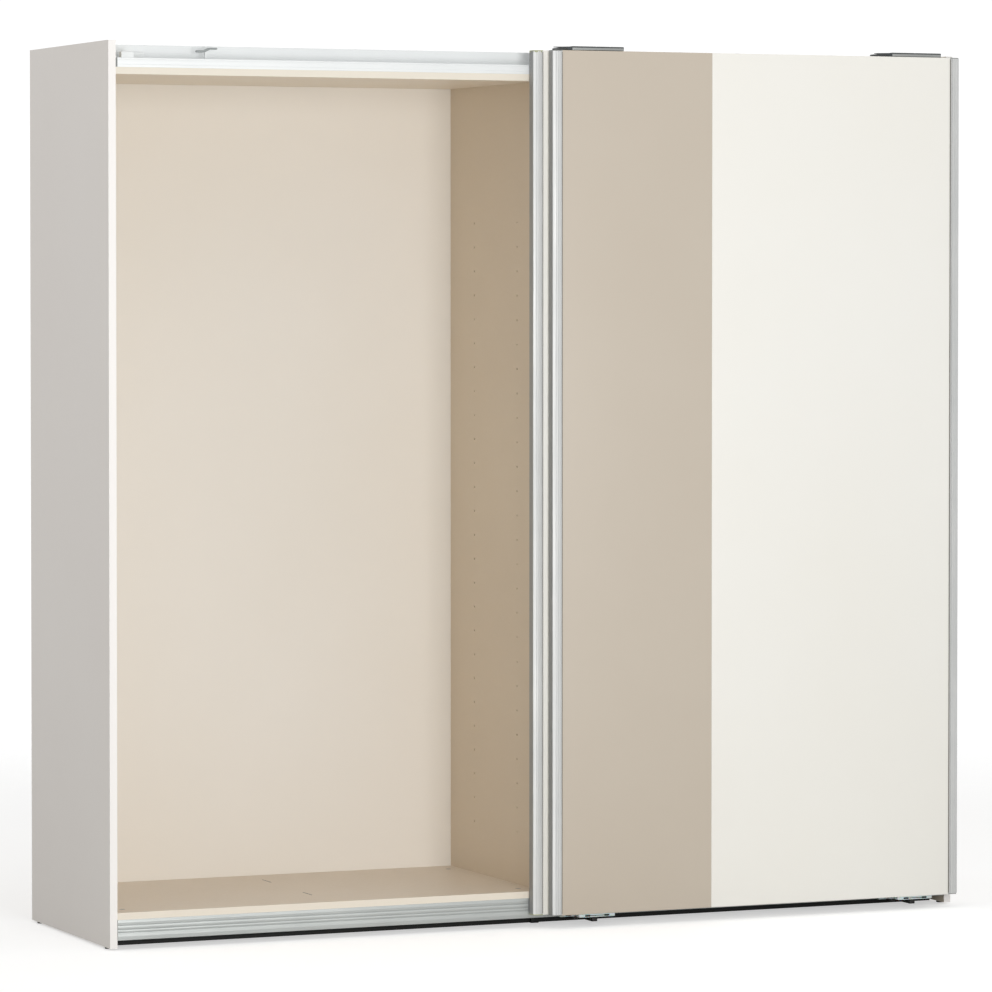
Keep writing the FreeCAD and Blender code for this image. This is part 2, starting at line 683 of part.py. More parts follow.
def track_stops(label, door, track, near, far):
    """Two rubber blocks astride a track, one at each end of a door's travel."""
    half_slot = "(track_thickness / 2 + bore_play)"
    slot_top = "track_height - rail_wall + bore_play"
    outline = [(near, "0"), (f"-{half_slot}", "0"), (f"-{half_slot}", slot_top),
               (half_slot, slot_top), (half_slot, "0"), (far, "0"),
               (far, "stop_height"), (near, "stop_height")]
    left_end = f"{door}_left - door_travel + carrier_inset - stop_gap - stop_length"
    right_end = f"{door}_left + door_width - carrier_inset + stop_gap"
    members = []
    for x in (left_end, right_end):
        body = new_body(f"{label}_block", x, f"front + {track}", "top_upper + rail_wall")
        pad(body, "YZ", "0", "stop_length", outline)
        members.append(body)
    return compound(label, members)


def soft_close_catch(label, x, sign):
    """A Z-shaped catch that stands on the rail between the tracks."""
    body = new_body(label, x, "front + screw_line - catch_width / 2", "top_upper + rail_wall")
    near = "catch_length / 2 - catch_stem / 2"
    far = "catch_length / 2 + catch_stem / 2"
    outline = [("0", "0"), ("catch_length", "0"), ("catch_length", "catch_tab"),
               (far, "catch_tab"), (far, "catch_high"), ("catch_length", "catch_high"),
               ("catch_length", "catch_high + catch_tab"), (near, "catch_high + catch_tab"),
               (near, "catch_low + catch_tab"), ("0", "catch_low + catch_tab"),
               ("0", "catch_low"), (near, "catch_low"), (near, "catch_tab"), ("0", "catch_tab")]
    pad(body, "XZ", "0", "catch_width", [(f"{sign}({u})", v) for u, v in outline])
    return body


top_rail()
bottom_rail()
copies("top_rail_screws", screw, rail_screw_spots("top_upper + rail_wall"), QUARTER_FORWARD)
copies("bottom_rail_screws", screw, rail_screw_spots("base_height - rail_wall"), QUARTER_BACK)
track_stops("inner_track_stops", "left_door", "inner_track",
            "-(cheek_near + stop_reach)", "wheel_width / 2")
track_stops("outer_track_stops", "right_door", "outer_track",
            "-wheel_width / 2", "cheek_near + stop_reach")
compound("soft_close_catches", [
    soft_close_catch("left_catch", "left_outside + catch_inset", ""),
    soft_close_catch("right_catch", "carcass_width / 2 - catch_inset", "-"),
])

# --- doors ---------------------------------------------------------------------------------------


def door_body(label, door, x="0", y="0", z="0"):
    """A body placed from the door's left front corner, with its height above the floor."""
    return new_body(label, f"{door}_left + {x}", f"{door}_front + {y}", z)


def stile_outline(sign):
    """End view of a stile, its outer side at x = 0: box, panel slot, bevels and fine lines."""
    rear_lip = "panel_rear + panel_play"
    corners = [("0", "stile_bevel"), ("stile_bevel", "0")]
    for number in (1, 2):
        line = f"{number} * reed_step"
        corners += [(line, "0"), (line, "reed_depth"),
                    (f"{line} + reed_width", "reed_depth"), (f"{line} + reed_width", "0")]
    corners += [("stile_width", "0"), ("stile_width", "panel_front"),
                ("slot_floor", "panel_front"), ("slot_floor", rear_lip),
                ("stile_width", rear_lip), ("stile_width", f"{rear_lip} + stile_wall"),
                ("slot_floor", f"{rear_lip} + stile_wall"), ("slot_floor", "stile_depth"),
                ("0", "stile_depth")]
    return [(f"{sign}({x})", y) for x, y in corners]


def stile_hollow(sign, play):
    """End view of the chamber inside a stile, or of a plug with play in it."""
    low = f"stile_wall + {play}"
    return rectangle(f"{sign}({low})", low,
                     f"{sign}(slot_floor - ({low}))", f"stile_depth - ({low})")


def stiles_and_caps(door):
    """Both stiles of a door, and the caps that close their ends."""
    caps = []
    ends = (("left", "0", ""), ("right", "door_width", "-"))
    for side, x, sign in ends:
        body = door_body(f"{door}_{side}_stile", door, x, "0", "door_bottom + cap_thickness")
        pad(body, "XY", "0", "door_height - 2 * cap_thickness",
            stile_outline(sign), stile_hollow(sign, "0"))
        for end, z, plug_start in (("lower", "door_bottom", "cap_thickness"),
                                   ("upper", "door_top - cap_thickness", "-plug_length")):
            cap = door_body(f"{door}_{side}_{end}_cap", door, x, "0", z)
            pad(cap, "XY", "0", "cap_thickness", stile_outline(sign))
            pad(cap, "XY", plug_start, "plug_length", stile_hollow(sign, "bore_play"))
            caps.append(cap)
    compound(f"{door}_stile_end_caps", caps)


def door_panel(label, door, low, high, screw_spots):
    """One board of a door, in the stile's slot at one side, with pilot holes in its rear face."""
    body = door_body(label, door, low, "panel_front", "door_bottom")
    pad(body, "XZ", "0", "panel_thickness", rectangle("0", "0", f"{high} - ({low})", "door_height"))
    pocket(body, "XZ", "panel_thickness", "screw_bite", "-", radius="screw_hole",
           circles=[(f"{x} - ({low})", f"{z} - door_bottom") for x, z in screw_spots])


def carrier_spots(start):
    """Screws of a roller carrier: two columns of two."""
    return [(f"{start} + {x}", f"plate_bottom + {z}")
            for x in ("carrier_margin", "carrier_length - carrier_margin")
            for z in ("carrier_rows / 2", "carrier_rows * 3 / 2")]


def guide_spots(start):
    """Screws of a bottom guide."""
    return [(f"{start} + {x}", "door_bottom + guide_tab * 2 / 3")
            for x in ("guide_margin", "guide_length - guide_margin")]


def strip_spots(x):
    """One column of screws along the joint strip."""
    step = f"(strip_length - 2 * strip_margin) / {STRIP_SCREW_ROWS - 1}"
    return [(x, f"door_bottom + strip_end + strip_margin + {row} * {step}")
            for row in range(STRIP_SCREW_ROWS)]


def joint_strip(door, joint, columns):
    """A flat bar behind the joint of a door's two panels."""
    left = f"{joint} - strip_width / 2"
    body = door_body(f"{door}_joint_strip", door, left, "panel_rear", "door_bottom + strip_end")
    pad(body, "XZ", "0", "strip_thickness",
        rectangle("0", "0", "strip_width", "strip_length"))
    spots = [(f"{x} - ({left})", f"{z} - door_bottom - strip_end")
             for column in columns for x, z in column]
    pocket(body, "XZ", "0", "strip_thickness", "+", circles=spots, radius="screw_hole")


def carrier_outline(door):
    """End view (y from the door's front, z) of a carrier: plate, bridge and cheek."""
    plate_rear = "panel_rear + carrier_plate"
    track = f"front + {'inner' if door == 'left_door' else 'outer'}_track - {door}_front"
    cheek_top = "cheek_bottom + cheek_height"
    if door == "left_door":
        cheek_rear = f"{track} - cheek_near"
        return [("panel_rear", "plate_bottom"), (plate_rear, "plate_bottom"),
                (plate_rear, "cheek_bottom"), (cheek_rear, "cheek_bottom"),
                (cheek_rear, cheek_top), (plate_rear, cheek_top),
                (plate_rear, "door_top - carrier_top"), ("panel_rear", "door_top - carrier_top")]
    cheek_front = f"{track} + cheek_near"
    cheek_rear = f"{track} + cheek_far"
    arm_top = "arm_bottom + arm_thickness"
    brow = "door_top + brow_gap"
    return [("panel_rear", "plate_bottom"), (plate_rear, "plate_bottom"),
            (plate_rear, "arm_bottom"), (cheek_front, "arm_bottom"),
            (cheek_front, "cheek_bottom"), (cheek_rear, "cheek_bottom"),
            (cheek_rear, arm_top), ("panel_front", arm_top),
            ("panel_front", brow), ("panel_rear", brow)]


def carrier_tongue(body):
    """The tongue beside a carrier of the right door and the notches in its front edge."""
    root = "arm_bottom + arm_thickness - tongue_drop"
    pad(body, "XZ", "panel_front + tongue_width / 2", "tongue_width", [
        ("merge", "arm_bottom"), ("merge", root), ("-tongue_length", f"{root} - tongue_tip"),
        ("-tongue_length", f"{root} - 2 * tongue_tip"),
        ("-tongue_length / 3", "arm_bottom + merge"),
        ("-tongue_length / 4", "door_top + brow_gap"), ("merge", "door_top + brow_gap"),
    ])
    notches = [rectangle(f"{middle} - notch_width / 2", "arm_bottom + arm_thickness - notch_depth",
                         f"{middle} + notch_width / 2", "arm_bottom + arm_thickness")
               for middle in ("notch_first", "notch_second")]
    pocket(body, "XZ", "panel_front", "panel_thickness", "+", polygons=notches)


def roller_carriers(door):
    """Both carriers of a door, bored for their axles and screws."""
    carriers = []
    track = "inner_track" if door == "left_door" else "outer_track"
    for number, start in enumerate(CARRIER_ENDS, start=1):
        body = door_body(f"{door}_carrier_{number}", door, start)
        pad(body, "YZ", "0", "carrier_length", carrier_outline(door))
        if door == "left_door":
            cheek = f"front + {track} - {door}_front - cheek_far"
        else:
            cheek = f"front + {track} - {door}_front + cheek_near"
            carrier_tongue(body)
        pocket(body, "XZ", cheek, "cheek_thickness", "+",
               circles=[(x, "wheel_height")
                        for x in ("wheel_inset", "carrier_length - wheel_inset")],
               radius="axle_radius + bore_play")
        spots = [(f"{x} - ({start})", z) for x, z in carrier_spots(start)]
        pocket(body, "XZ", "panel_rear", "carrier_plate", "+", circles=spots,
               radius="screw_hole")
        carriers.append(body)
    compound(f"{door}_roller_carriers", carriers)


def axle_master():
    """An axle: cheek end at -Y, head at +Y, the wheel's middle at y = 0."""
    body = new_body("axle_master", "0", "0", "0")
    head = "wheel_width / 2 + side_play"
    revolve(body, [("0", "-cheek_far"), ("axle_radius", "-cheek_far"), ("axle_radius", head),
                   ("axle_head_radius", head), ("axle_head_radius", f"{head} + axle_head"),
                   ("0", f"{head} + axle_head")])
    return body


def wheel(label, x, y):
    """A grooved wheel about Y, with dished sides."""
    body = new_body(label, x, y, "wheel_height")
    half = "wheel_width / 2"
    tread = "tread_width / 2"
    right_side = [("hub_radius", half), ("hub_radius", f"{half} - dish_depth"),
                  ("tread_radius - rim_wall", f"{half} - dish_depth"),
                  ("tread_radius - rim_wall", half),
                  ("flange_radius", half), ("flange_radius", f"{tread} + flank_width"),
                  ("tread_radius", tread)]
    left_side = [(r, f"-({along})") for r, along in reversed(right_side)]
    bore = "axle_radius + axle_play"
    revolve(body, [(bore, f"-{half}"), (bore, half), *right_side, *left_side])
    return body


def bottom_guides(door):
    """Both guides of a door: a body under the panel, an arm and a fin in the channel."""
    track = f"front + {'inner' if door == 'left_door' else 'outer'}_track - {door}_front"
    floor = "left_arm_floor" if door == "left_door" else "right_arm_floor"
    tab_rear = "panel_rear + guide_plate"
    block = [("panel_front", "guide_bottom"), (tab_rear, "guide_bottom"),
             (tab_rear, "door_bottom + guide_tab"), ("panel_rear", "door_bottom + guide_tab"),
             ("panel_rear", "door_bottom"), ("panel_front", "door_bottom")]
    fin_front = f"{track} - fin_thickness / 2"
    fin_rear = f"{track} + fin_thickness / 2"
    arm = [(f"{tab_rear} - guide_leg", floor), (fin_rear, floor), (fin_rear, "fin_top"),
           (fin_front, "fin_top"), (fin_front, f"{floor} + guide_arm"),
           (tab_rear, f"{floor} + guide_arm"), (tab_rear, "guide_bottom + merge"),
           (f"{tab_rear} - guide_leg", "guide_bottom + merge")]
    guides = []
    for number, start in enumerate(GUIDE_ENDS, start=1):
        body = door_body(f"{door}_guide_{number}", door, start)
        pad(body, "YZ", "0", "guide_length", block)
        pad(body, "YZ", "(guide_length - guide_arm_width) / 2", "guide_arm_width", arm)
        sockets = [(x, "door_bottom - guide_body / 2")
                   for x in ("guide_margin", "guide_length - guide_margin")]
        pocket(body, "XZ", "panel_front", "guide_socket_depth", "+", circles=sockets,
               radius="guide_socket")
        spots = [(f"{x} - ({start})", z) for x, z in guide_spots(start)]
        pocket(body, "XZ", "panel_rear", "guide_plate", "+", circles=spots, radius="screw_hole")
        guides.append(body)
    compound(f"{door}_bottom_guides", guides)


def dust_brush(door, x, reach):
    """A strip of bristles along the rear of a stile."""
    body = door_body(f"{door}_dust_brush", door, x, "stile_depth", "door_bottom")
    pad(body, "XY", "0", "door_height + brush_proud",
        rectangle("0", "0", "brush_width", f"{reach} - brush_play"))


def door_assembly(door, joint, names, brush):
    """Every piece of one door. Names are its panels from left to right."""
    half_gap = "joint_gap / 2"
    inset = "(strip_width / 2 - strip_margin)"
    columns = [strip_spots(f"{joint} {sign} {inset}") for sign in "-+"]
    carriers = [carrier_spots(start) for start in CARRIER_ENDS]
    guides = [guide_spots(start) for start in GUIDE_ENDS]
    spans = (("panel_end", f"{joint} - {half_gap}"),
             (f"{joint} + {half_gap}", "door_width - panel_end"))
    for i, (low, high) in enumerate(spans):
        door_panel(f"{door}_{names[i]}_panel", door, low, high,
                   carriers[i] + guides[i] + columns[i])
    joint_strip(door, joint, columns)
    stiles_and_caps(door)
    roller_carriers(door)
    bottom_guides(door)
    dust_brush(door, *brush)
    seats = [(carriers, "carrier_plate"), (guides, "guide_plate"), (columns, "strip_thickness")]
    screw_spots = [(f"{door}_left + {x}", f"{door}_front + panel_rear + {plate}", z)
                   for groups, plate in seats for spots in groups for x, z in spots]
    copies(f"{door}_screws", screw, screw_spots)


def door_wheels(door, track, turn):
    """Four wheels and their axles. Turn faces the axle's cheek end to the cheek."""
    y = f"front + {track}"
    spots = [(f"{door}_left + {start} + {x}", y, "wheel_height") for start in CARRIER_ENDS
             for x in ("wheel_inset", "carrier_length - wheel_inset")]
    copies(f"{door}_wheel_axles", axle, spots, turn)
    for number, spot in enumerate(spots, start=1):
        wheel(f"{door}_wheel_{number}", spot[0], spot[1])


axle = axle_master()
door_assembly("right_door", "accent_width", ("taupe", "white"), ("brush_inset", "door_gap"))
door_assembly("left_door", "door_width - accent_width", ("white", "taupe"),
              ("door_width - brush_inset - brush_width", "rear_play"))
door_wheels("left_door", "inner_track", None)
door_wheels("right_door", "outer_track", HALF_TURN)

# --- check and write -----------------------------------------------------------------------------

CARCASS_NODES = (
    "left_side_panel", "right_side_panel", "centre_partition",
    "left_top_panel", "right_top_panel", "left_bottom_panel", "right_bottom_panel",
    "left_back_panel", "right_back_panel", "left_plinth", "right_plinth",
    "support_feet", "floor_glides", "cam_locks", "cam_bolts", "wood_dowels",
    "back_panel_screws", "top_rail", "bottom_rail", "top_rail_screws", "bottom_rail_screws",
    "inner_track_stops", "outer_track_stops", "soft_close_catches",
)
DOOR_NODES = (
    "white_panel", "taupe_panel", "joint_strip", "left_stile", "right_stile", "stile_end_caps",
    "roller_carriers", "wheel_axles", "wheel_1", "wheel_2", "wheel_3", "wheel_4",
    "bottom_guides", "screws", "dust_brush",
)


def checked_shape(label):
    """The finished shape of a node, or an error that names it."""
    shape = document.getObjectsByLabel(label)[0].Shape
    if shape.isNull() or not shape.isValid() or not shape.Solids:
        raise RuntimeError(f"{label} has no valid shape")
    return shape


document.recompute()
for item in document.Objects:
    if "Invalid" in item.State or "Error" in item.State:
        raise RuntimeError(f"{item.Label} failed: {item.State}")
nodes = list(CARCASS_NODES)
for door in ("left_door", "right_door"):
    nodes += [f"{door}_{name}" for name in DOOR_NODES]
shapes = {label: checked_shape(label) for label in nodes}
os.makedirs("parts", exist_ok=True)
for label, shape in shapes.items():
    shape.exportStep(f"parts/{label}.step")
travel = value_of("door_travel")
print(f"{len(shapes)} nodes; each door travels {travel:.1f} mm to the left")
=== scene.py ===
import math

import bpy
import numpy as np
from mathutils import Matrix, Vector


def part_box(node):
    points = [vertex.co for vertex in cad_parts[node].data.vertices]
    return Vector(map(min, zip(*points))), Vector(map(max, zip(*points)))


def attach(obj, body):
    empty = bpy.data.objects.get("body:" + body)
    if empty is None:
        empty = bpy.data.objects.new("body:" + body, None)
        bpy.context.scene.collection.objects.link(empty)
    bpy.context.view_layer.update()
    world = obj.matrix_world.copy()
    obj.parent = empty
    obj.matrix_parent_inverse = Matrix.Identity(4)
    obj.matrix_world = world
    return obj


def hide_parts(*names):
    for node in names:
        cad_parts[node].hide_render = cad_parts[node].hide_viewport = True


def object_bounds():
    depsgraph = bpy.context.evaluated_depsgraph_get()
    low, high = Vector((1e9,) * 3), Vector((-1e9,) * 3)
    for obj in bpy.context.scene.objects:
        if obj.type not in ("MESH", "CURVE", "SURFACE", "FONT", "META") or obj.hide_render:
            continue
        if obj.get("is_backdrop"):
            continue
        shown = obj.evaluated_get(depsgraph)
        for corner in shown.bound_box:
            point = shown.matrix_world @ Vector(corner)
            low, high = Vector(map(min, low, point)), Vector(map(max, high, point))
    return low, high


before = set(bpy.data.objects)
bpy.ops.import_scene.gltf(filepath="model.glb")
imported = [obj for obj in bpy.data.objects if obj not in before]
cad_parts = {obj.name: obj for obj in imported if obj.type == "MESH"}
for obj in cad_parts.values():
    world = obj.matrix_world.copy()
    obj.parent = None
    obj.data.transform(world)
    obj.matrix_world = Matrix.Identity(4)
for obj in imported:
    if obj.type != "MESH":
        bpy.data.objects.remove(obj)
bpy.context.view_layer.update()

# A two-door sliding wardrobe: melamine carcass, aluminium rails and stiles, lacquered door panels.
# Metres; lengths of small details are given in millimetres and multiplied by MM.

MM = 0.001
DOORS = ("left_door", "right_door")
SHARP = math.radians(32)


# --- shapes: points on a grid, and the faces between them ----------------------------------------


def grid_faces(rows, columns, loop):
    """Quads between neighbouring points of a grid; each row closes on itself, and with loop so
    does each column."""
    row, column = np.meshgrid(np.arange(rows if loop else rows - 1), np.arange(columns),
                              indexing="ij")
    row, column = row.ravel(), column.ravel()
    next_row, next_column = (row + 1) % rows, (column + 1) % columns
    corners = [(row, column), (row, next_column), (next_row, next_column), (next_row, column)]
    return np.stack([r * columns + c for r, c in corners], axis=1)


def volume_of(points, faces):
    """Signed volume: the sum over triangle fans of a . (b x c) / 6."""
    total = 0.0
    for face in faces:
        a, b, c = points[face[:, :1]], points[face[:, 1:-1]], points[face[:, 2:]]
        total += float(np.sum(a * np.cross(b, c)) / 6)
    return total


def skin(grid, loop=False):
    """A closed shape from a (rows, columns, 3) grid of rings: quads along it, and one face across
    each end unless the last ring joins the first. Faces are turned to point outwards."""
    grid = np.asarray(grid, float)
    rows, columns = grid.shape[:2]
    points = grid.reshape(-1, 3)
    faces = [grid_faces(rows, columns, loop)]
    if not loop:
        ring = np.arange(columns)
        faces.append(np.stack([ring[::-1], ring + (rows - 1) * columns]))
    if volume_of(points, faces) < 0:
        faces = [face[:, ::-1] for face in faces]
    return points, faces


def piece(name, shapes, finish, body, stands_for=(), sharp=SHARP):
    """One object from several shapes, in the finish given, that moves with the body."""
    starts = np.cumsum([0] + [len(points) for points, faces in shapes[:-1]])
    points = np.concatenate([points for points, faces in shapes])
    faces = [row.tolist() for start, shape in zip(starts, shapes)
             for block in shape[1] for row in block + start]
    mesh = bpy.data.meshes.new(name)
    mesh.from_pydata(points, [], faces)
    mesh.shade_smooth()
    mesh.set_sharp_from_angle(angle=sharp)
    mesh.materials.append(finish)
    made = bpy.data.objects.new(name, mesh)
    bpy.context.scene.collection.objects.link(made)
    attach(made, body)
    if stands_for:
        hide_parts(*stands_for)
    return made


def rounded(corners, radii, steps=5):
    """Closed outline with soft corners: near corner P it follows (1-t)^2 A + 2t(1-t) P + t^2 B,
    where A and B lie one radius away from P on its two sides."""
    corners = np.asarray(corners, float)
    radii = np.broadcast_to(np.asarray(radii, float), len(corners))[:, None]
    back = np.roll(corners, 1, axis=0) - corners
    ahead = np.roll(corners, -1, axis=0) - corners
    back_length = np.linalg.norm(back, axis=1, keepdims=True)
    ahead_length = np.linalg.norm(ahead, axis=1, keepdims=True)
    reach = np.minimum(radii, 0.48 * np.minimum(back_length, ahead_length))
    start = (corners + back / back_length * reach)[:, None]
    end = (corners + ahead / ahead_length * reach)[:, None]
    t = np.linspace(0, 1, steps)[None, :, None]
    outline = ((1 - t) ** 2 * start + 2 * t * (1 - t) * corners[:, None] + t ** 2 * end)
    outline = outline.reshape(-1, 2)
    apart = np.linalg.norm(outline - np.roll(outline, 1, axis=0), axis=1) > 1e-7
    return outline[apart]


def bar(outline, low, high, axis, ease=0.0):
    """An outline carried straight from low to high along X, Y or Z. Over the last ease at both
    ends it draws in towards its middle by ease (1 - sin t), t running from 0 to a quarter turn."""
    outline = np.asarray(outline, float)
    middle = (outline.min(0) + outline.max(0)) / 2
    half = (outline.max(0) - outline.min(0)) / 2
    t = np.linspace(0, np.pi / 2, 4 if ease else 1)
    step, draw = ease * (1 - np.cos(t)), ease * (1 - np.sin(t))
    along = np.concatenate([low + step, (high - step)[::-1]])
    shrink = np.concatenate([draw, draw[::-1]])
    scale = 1 - shrink[:, None, None] / half[None, None, :]
    flat = middle + (outline - middle)[None] * scale
    grid = np.empty((len(along), len(outline), 3))
    first, second = {"x": (1, 2), "y": (0, 2), "z": (0, 1)}[axis]
    grid[:, :, "xyz".index(axis)] = along[:, None]
    grid[:, :, first], grid[:, :, second] = flat[:, :, 0], flat[:, :, 1]
    return skin(grid)


def slab(low, high, edge):
    """A board with quarter-round edges: the corner of its section is an arc of radius
    edge sin t about a fixed centre, and that section lies edge (1 - cos t) from the end."""
    low, high = np.asarray(low, float), np.asarray(high, float)
    t = np.linspace(0.25, np.pi / 2, 4)
    step = edge * (1 - np.cos(t))
    step[0] = 0
    radius = np.concatenate([edge * np.sin(t), edge * np.sin(t)[::-1]])
    height = np.concatenate([low[2] + step, (high[2] - step)[::-1]])
    turn = (np.arange(4)[:, None] * np.pi / 2 + np.linspace(0, np.pi / 2, 5)[None]).ravel()
    right, rear = np.repeat([1, 0, 0, 1], 5), np.repeat([1, 1, 0, 0], 5)
    centre_x = np.where(right, high[0] - edge, low[0] + edge)
    centre_y = np.where(rear, high[1] - edge, low[1] + edge)
    grid = np.empty((len(height), len(turn), 3))
    grid[:, :, 0] = centre_x + radius[:, None] * np.cos(turn)
    grid[:, :, 1] = centre_y + radius[:, None] * np.sin(turn)
    grid[:, :, 2] = height[:, None]
    return skin(grid)


def upright(axis, local):
    """Local points (across, across, along) turned so that along is the axis x, y or z."""
    across_a, across_b, along = np.moveaxis(local, -1, 0)
    turned_to = {"x": (along, across_a, across_b), "y": (across_b, along, across_a),
                 "z": (across_a, across_b, along)}[axis]
    return np.stack(turned_to, axis=-1)


def cross_head(centre, axis, radius, height, shank, length, way=1.0, dome=0.35):
    """A screw or cam seen from its head. At distance r from the axis the face stands at
    height (1 - dome (r / radius)^2), and inside a cross of two tapered slots it drops by
    up to 0.55 height. Below the head runs a plain shank."""
    sides = 48
    angle = np.linspace(0, 2 * np.pi, sides, endpoint=False)[None]
    rings = radius * np.array([0.05, 0.16, 0.28, 0.4, 0.5, 0.56, 0.62, 0.8, 0.93, 1.0])[:, None]
    across = np.minimum(abs(rings * np.cos(angle)), abs(rings * np.sin(angle))) / radius
    inside = np.clip((0.14 - across) / 0.05, 0, 1) * np.clip((0.6 - rings / radius) / 0.06, 0, 1)
    face = height * (1 - dome * (rings / radius) ** 2 - 0.55 * inside)
    under = np.array([(radius, 0.15 * height), (radius * 0.97, 0), (shank, 0), (shank, -length)])
    reach = np.concatenate([np.broadcast_to(rings, face.shape),
                            np.broadcast_to(under[:, :1], (4, sides))])
    along = np.concatenate([face, np.broadcast_to(under[:, 1:], (4, sides))]) * way
    local = np.stack([reach * np.cos(angle), reach * np.sin(angle), along], axis=-1)
    return skin(upright(axis, local) + np.asarray(centre, float))


def solids_of(node):
    """Low and high corner of each separate solid of a CAD node, as an (n, 2, 3) array. Points
    in one place are one point, and each takes the least number in reach until none changes."""
    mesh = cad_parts[node].data
    points = np.empty(len(mesh.vertices) * 3, np.float32)
    mesh.vertices.foreach_get("co", points)
    corner = np.empty(len(mesh.loops), np.int32)
    mesh.loops.foreach_get("vertex_index", corner)
    points = points.reshape(-1, 3).astype(float)
    same = np.unique(np.round(points, 6), axis=0, return_inverse=True)[1].ravel()
    triangle = same[corner].reshape(-1, 3)
    label = np.arange(same.max() + 1)
    while True:
        least = label[triangle].min(axis=1)
        after = label.copy()
        np.minimum.at(after, triangle.ravel(), np.repeat(least, 3))
        after = after[after]
        if np.array_equal(after, label):
            break
        label = after
    own = label[same]
    boxes = [(points[own == k].min(0), points[own == k].max(0)) for k in np.unique(own)]
    return np.array(sorted(boxes, key=lambda box: tuple(np.round(box[0], 4))))


# --- finishes ------------------------------------------------------------------------------------


def tint(red, green, blue):
    """A paint-chart colour, 0 to 255 a channel, as linear light."""
    share = np.array([red, green, blue]) / 255
    linear = np.where(share <= 0.04045, share / 12.92, ((share + 0.055) / 1.055) ** 2.4)
    return (*linear.tolist(), 1.0)


def put(tree, kind, inputs=None, **settings):
    """A node with its settings; each input is a value or the socket that feeds it."""
    made = tree.nodes.new(kind)
    for key, value in settings.items():
        setattr(made, key, value)
    for key, value in (inputs or {}).items():
        if isinstance(value, bpy.types.NodeSocket):
            tree.links.new(value, made.inputs[key])
        else:
            made.inputs[key].default_value = value
    return made


def reckon(tree, operation, first, second=0.0, third=0.0, clamp=False):
    """One step of arithmetic on values."""
    return put(tree, "ShaderNodeMath", {0: first, 1: second, 2: third}, operation=operation,
               use_clamp=clamp).outputs[0]


def blended(tree, amount, first, second, mode="MIX"):
    """Two colours mixed by a value."""
    return put(tree, "ShaderNodeMix", {"Factor": amount, "A": first, "B": second},
               data_type="RGBA", blend_type=mode).outputs["Result"]


def effect(name, inputs, outputs):
    """An empty node group with named sockets: (name, socket type, value) going in."""
    tree = bpy.data.node_groups.new(name, "ShaderNodeTree")
    for label, kind, value in inputs:
        tree.interface.new_socket(label, in_out="INPUT", socket_type=f"NodeSocket{kind}"
                                  ).default_value = value
    for label, kind in outputs:
        tree.interface.new_socket(label, in_out="OUTPUT", socket_type=f"NodeSocket{kind}")
    return tree, tree.nodes.new("NodeGroupInput"), tree.nodes.new("NodeGroupOutput")


def grain_effect():
    """Fine relief and slow drift: Height from two noises on stretched coordinates, and Tone,
    a value about 0.5 that wanders over the piece."""
    tree, given, result = effect(
        "surface_grain",
        [("Stretch", "Vector", (1, 1, 1)), ("Fineness", "Float", 400), ("Drift", "Float", 2)],
        [("Height", "Float"), ("Tone", "Float")])
    place = put(tree, "ShaderNodeTexCoord").outputs["Object"]
    pulled = put(tree, "ShaderNodeVectorMath", {0: place, 1: given.outputs["Stretch"]},
                 operation="MULTIPLY").outputs[0]
    fine = put(tree, "ShaderNodeTexNoise", {"Vector": pulled, "Detail": 2.0, "Roughness": 0.6,
                                            "Scale": given.outputs["Fineness"]})
    coarse = put(tree, "ShaderNodeTexNoise",
                 {"Vector": pulled, "Detail": 1.0,
                  "Scale": reckon(tree, "MULTIPLY", given.outputs["Fineness"], 0.23)})
    drift = put(tree, "ShaderNodeTexNoise", {"Vector": place, "Detail": 3.0, "Roughness": 0.55,
                                             "Scale": given.outputs["Drift"]})
    height = reckon(tree, "MULTIPLY_ADD", coarse.outputs["Fac"], 0.6,
                    reckon(tree, "MULTIPLY", fine.outputs["Fac"], 0.4))
    tree.links.new(height, result.inputs["Height"])
    tree.links.new(drift.outputs["Fac"], result.inputs["Tone"])
    return tree


def edge_effect():
    """Rubbed edges of a box-shaped piece. The second smallest of the three distances to the
    box's sides is the distance to its nearest edge; Mask falls from 1 there to 0 at Reach,
    broken up by noise."""
    tree, given, result = effect(
        "rubbed_edges",
        [("Low", "Vector", (0, 0, 0)), ("High", "Vector", (1, 1, 1)), ("Reach", "Float", 0.003)],
        [("Mask", "Float")])
    place = put(tree, "ShaderNodeTexCoord").outputs["Object"]
    from_low = put(tree, "ShaderNodeVectorMath", {0: place, 1: given.outputs["Low"]},
                   operation="SUBTRACT").outputs[0]
    from_high = put(tree, "ShaderNodeVectorMath", {0: given.outputs["High"], 1: place},
                    operation="SUBTRACT").outputs[0]
    nearest = put(tree, "ShaderNodeVectorMath", {0: from_low, 1: from_high},
                  operation="MINIMUM").outputs[0]
    a, b, c = put(tree, "ShaderNodeSeparateXYZ", {0: nearest}).outputs
    second = reckon(tree, "MAXIMUM", reckon(tree, "MINIMUM", a, b),
                    reckon(tree, "MINIMUM", reckon(tree, "MAXIMUM", a, b), c))
    near = reckon(tree, "SUBTRACT", 1.0, reckon(tree, "DIVIDE", second, given.outputs["Reach"]),
                  clamp=True)
    broken = put(tree, "ShaderNodeTexNoise", {"Vector": place, "Scale": 60.0, "Detail": 3.0})
    mask = reckon(tree, "MULTIPLY", near,
                  reckon(tree, "MULTIPLY_ADD", broken.outputs["Fac"], 1.6, -0.3, clamp=True),
                  clamp=True)
    tree.links.new(mask, result.inputs["Mask"])
    return tree


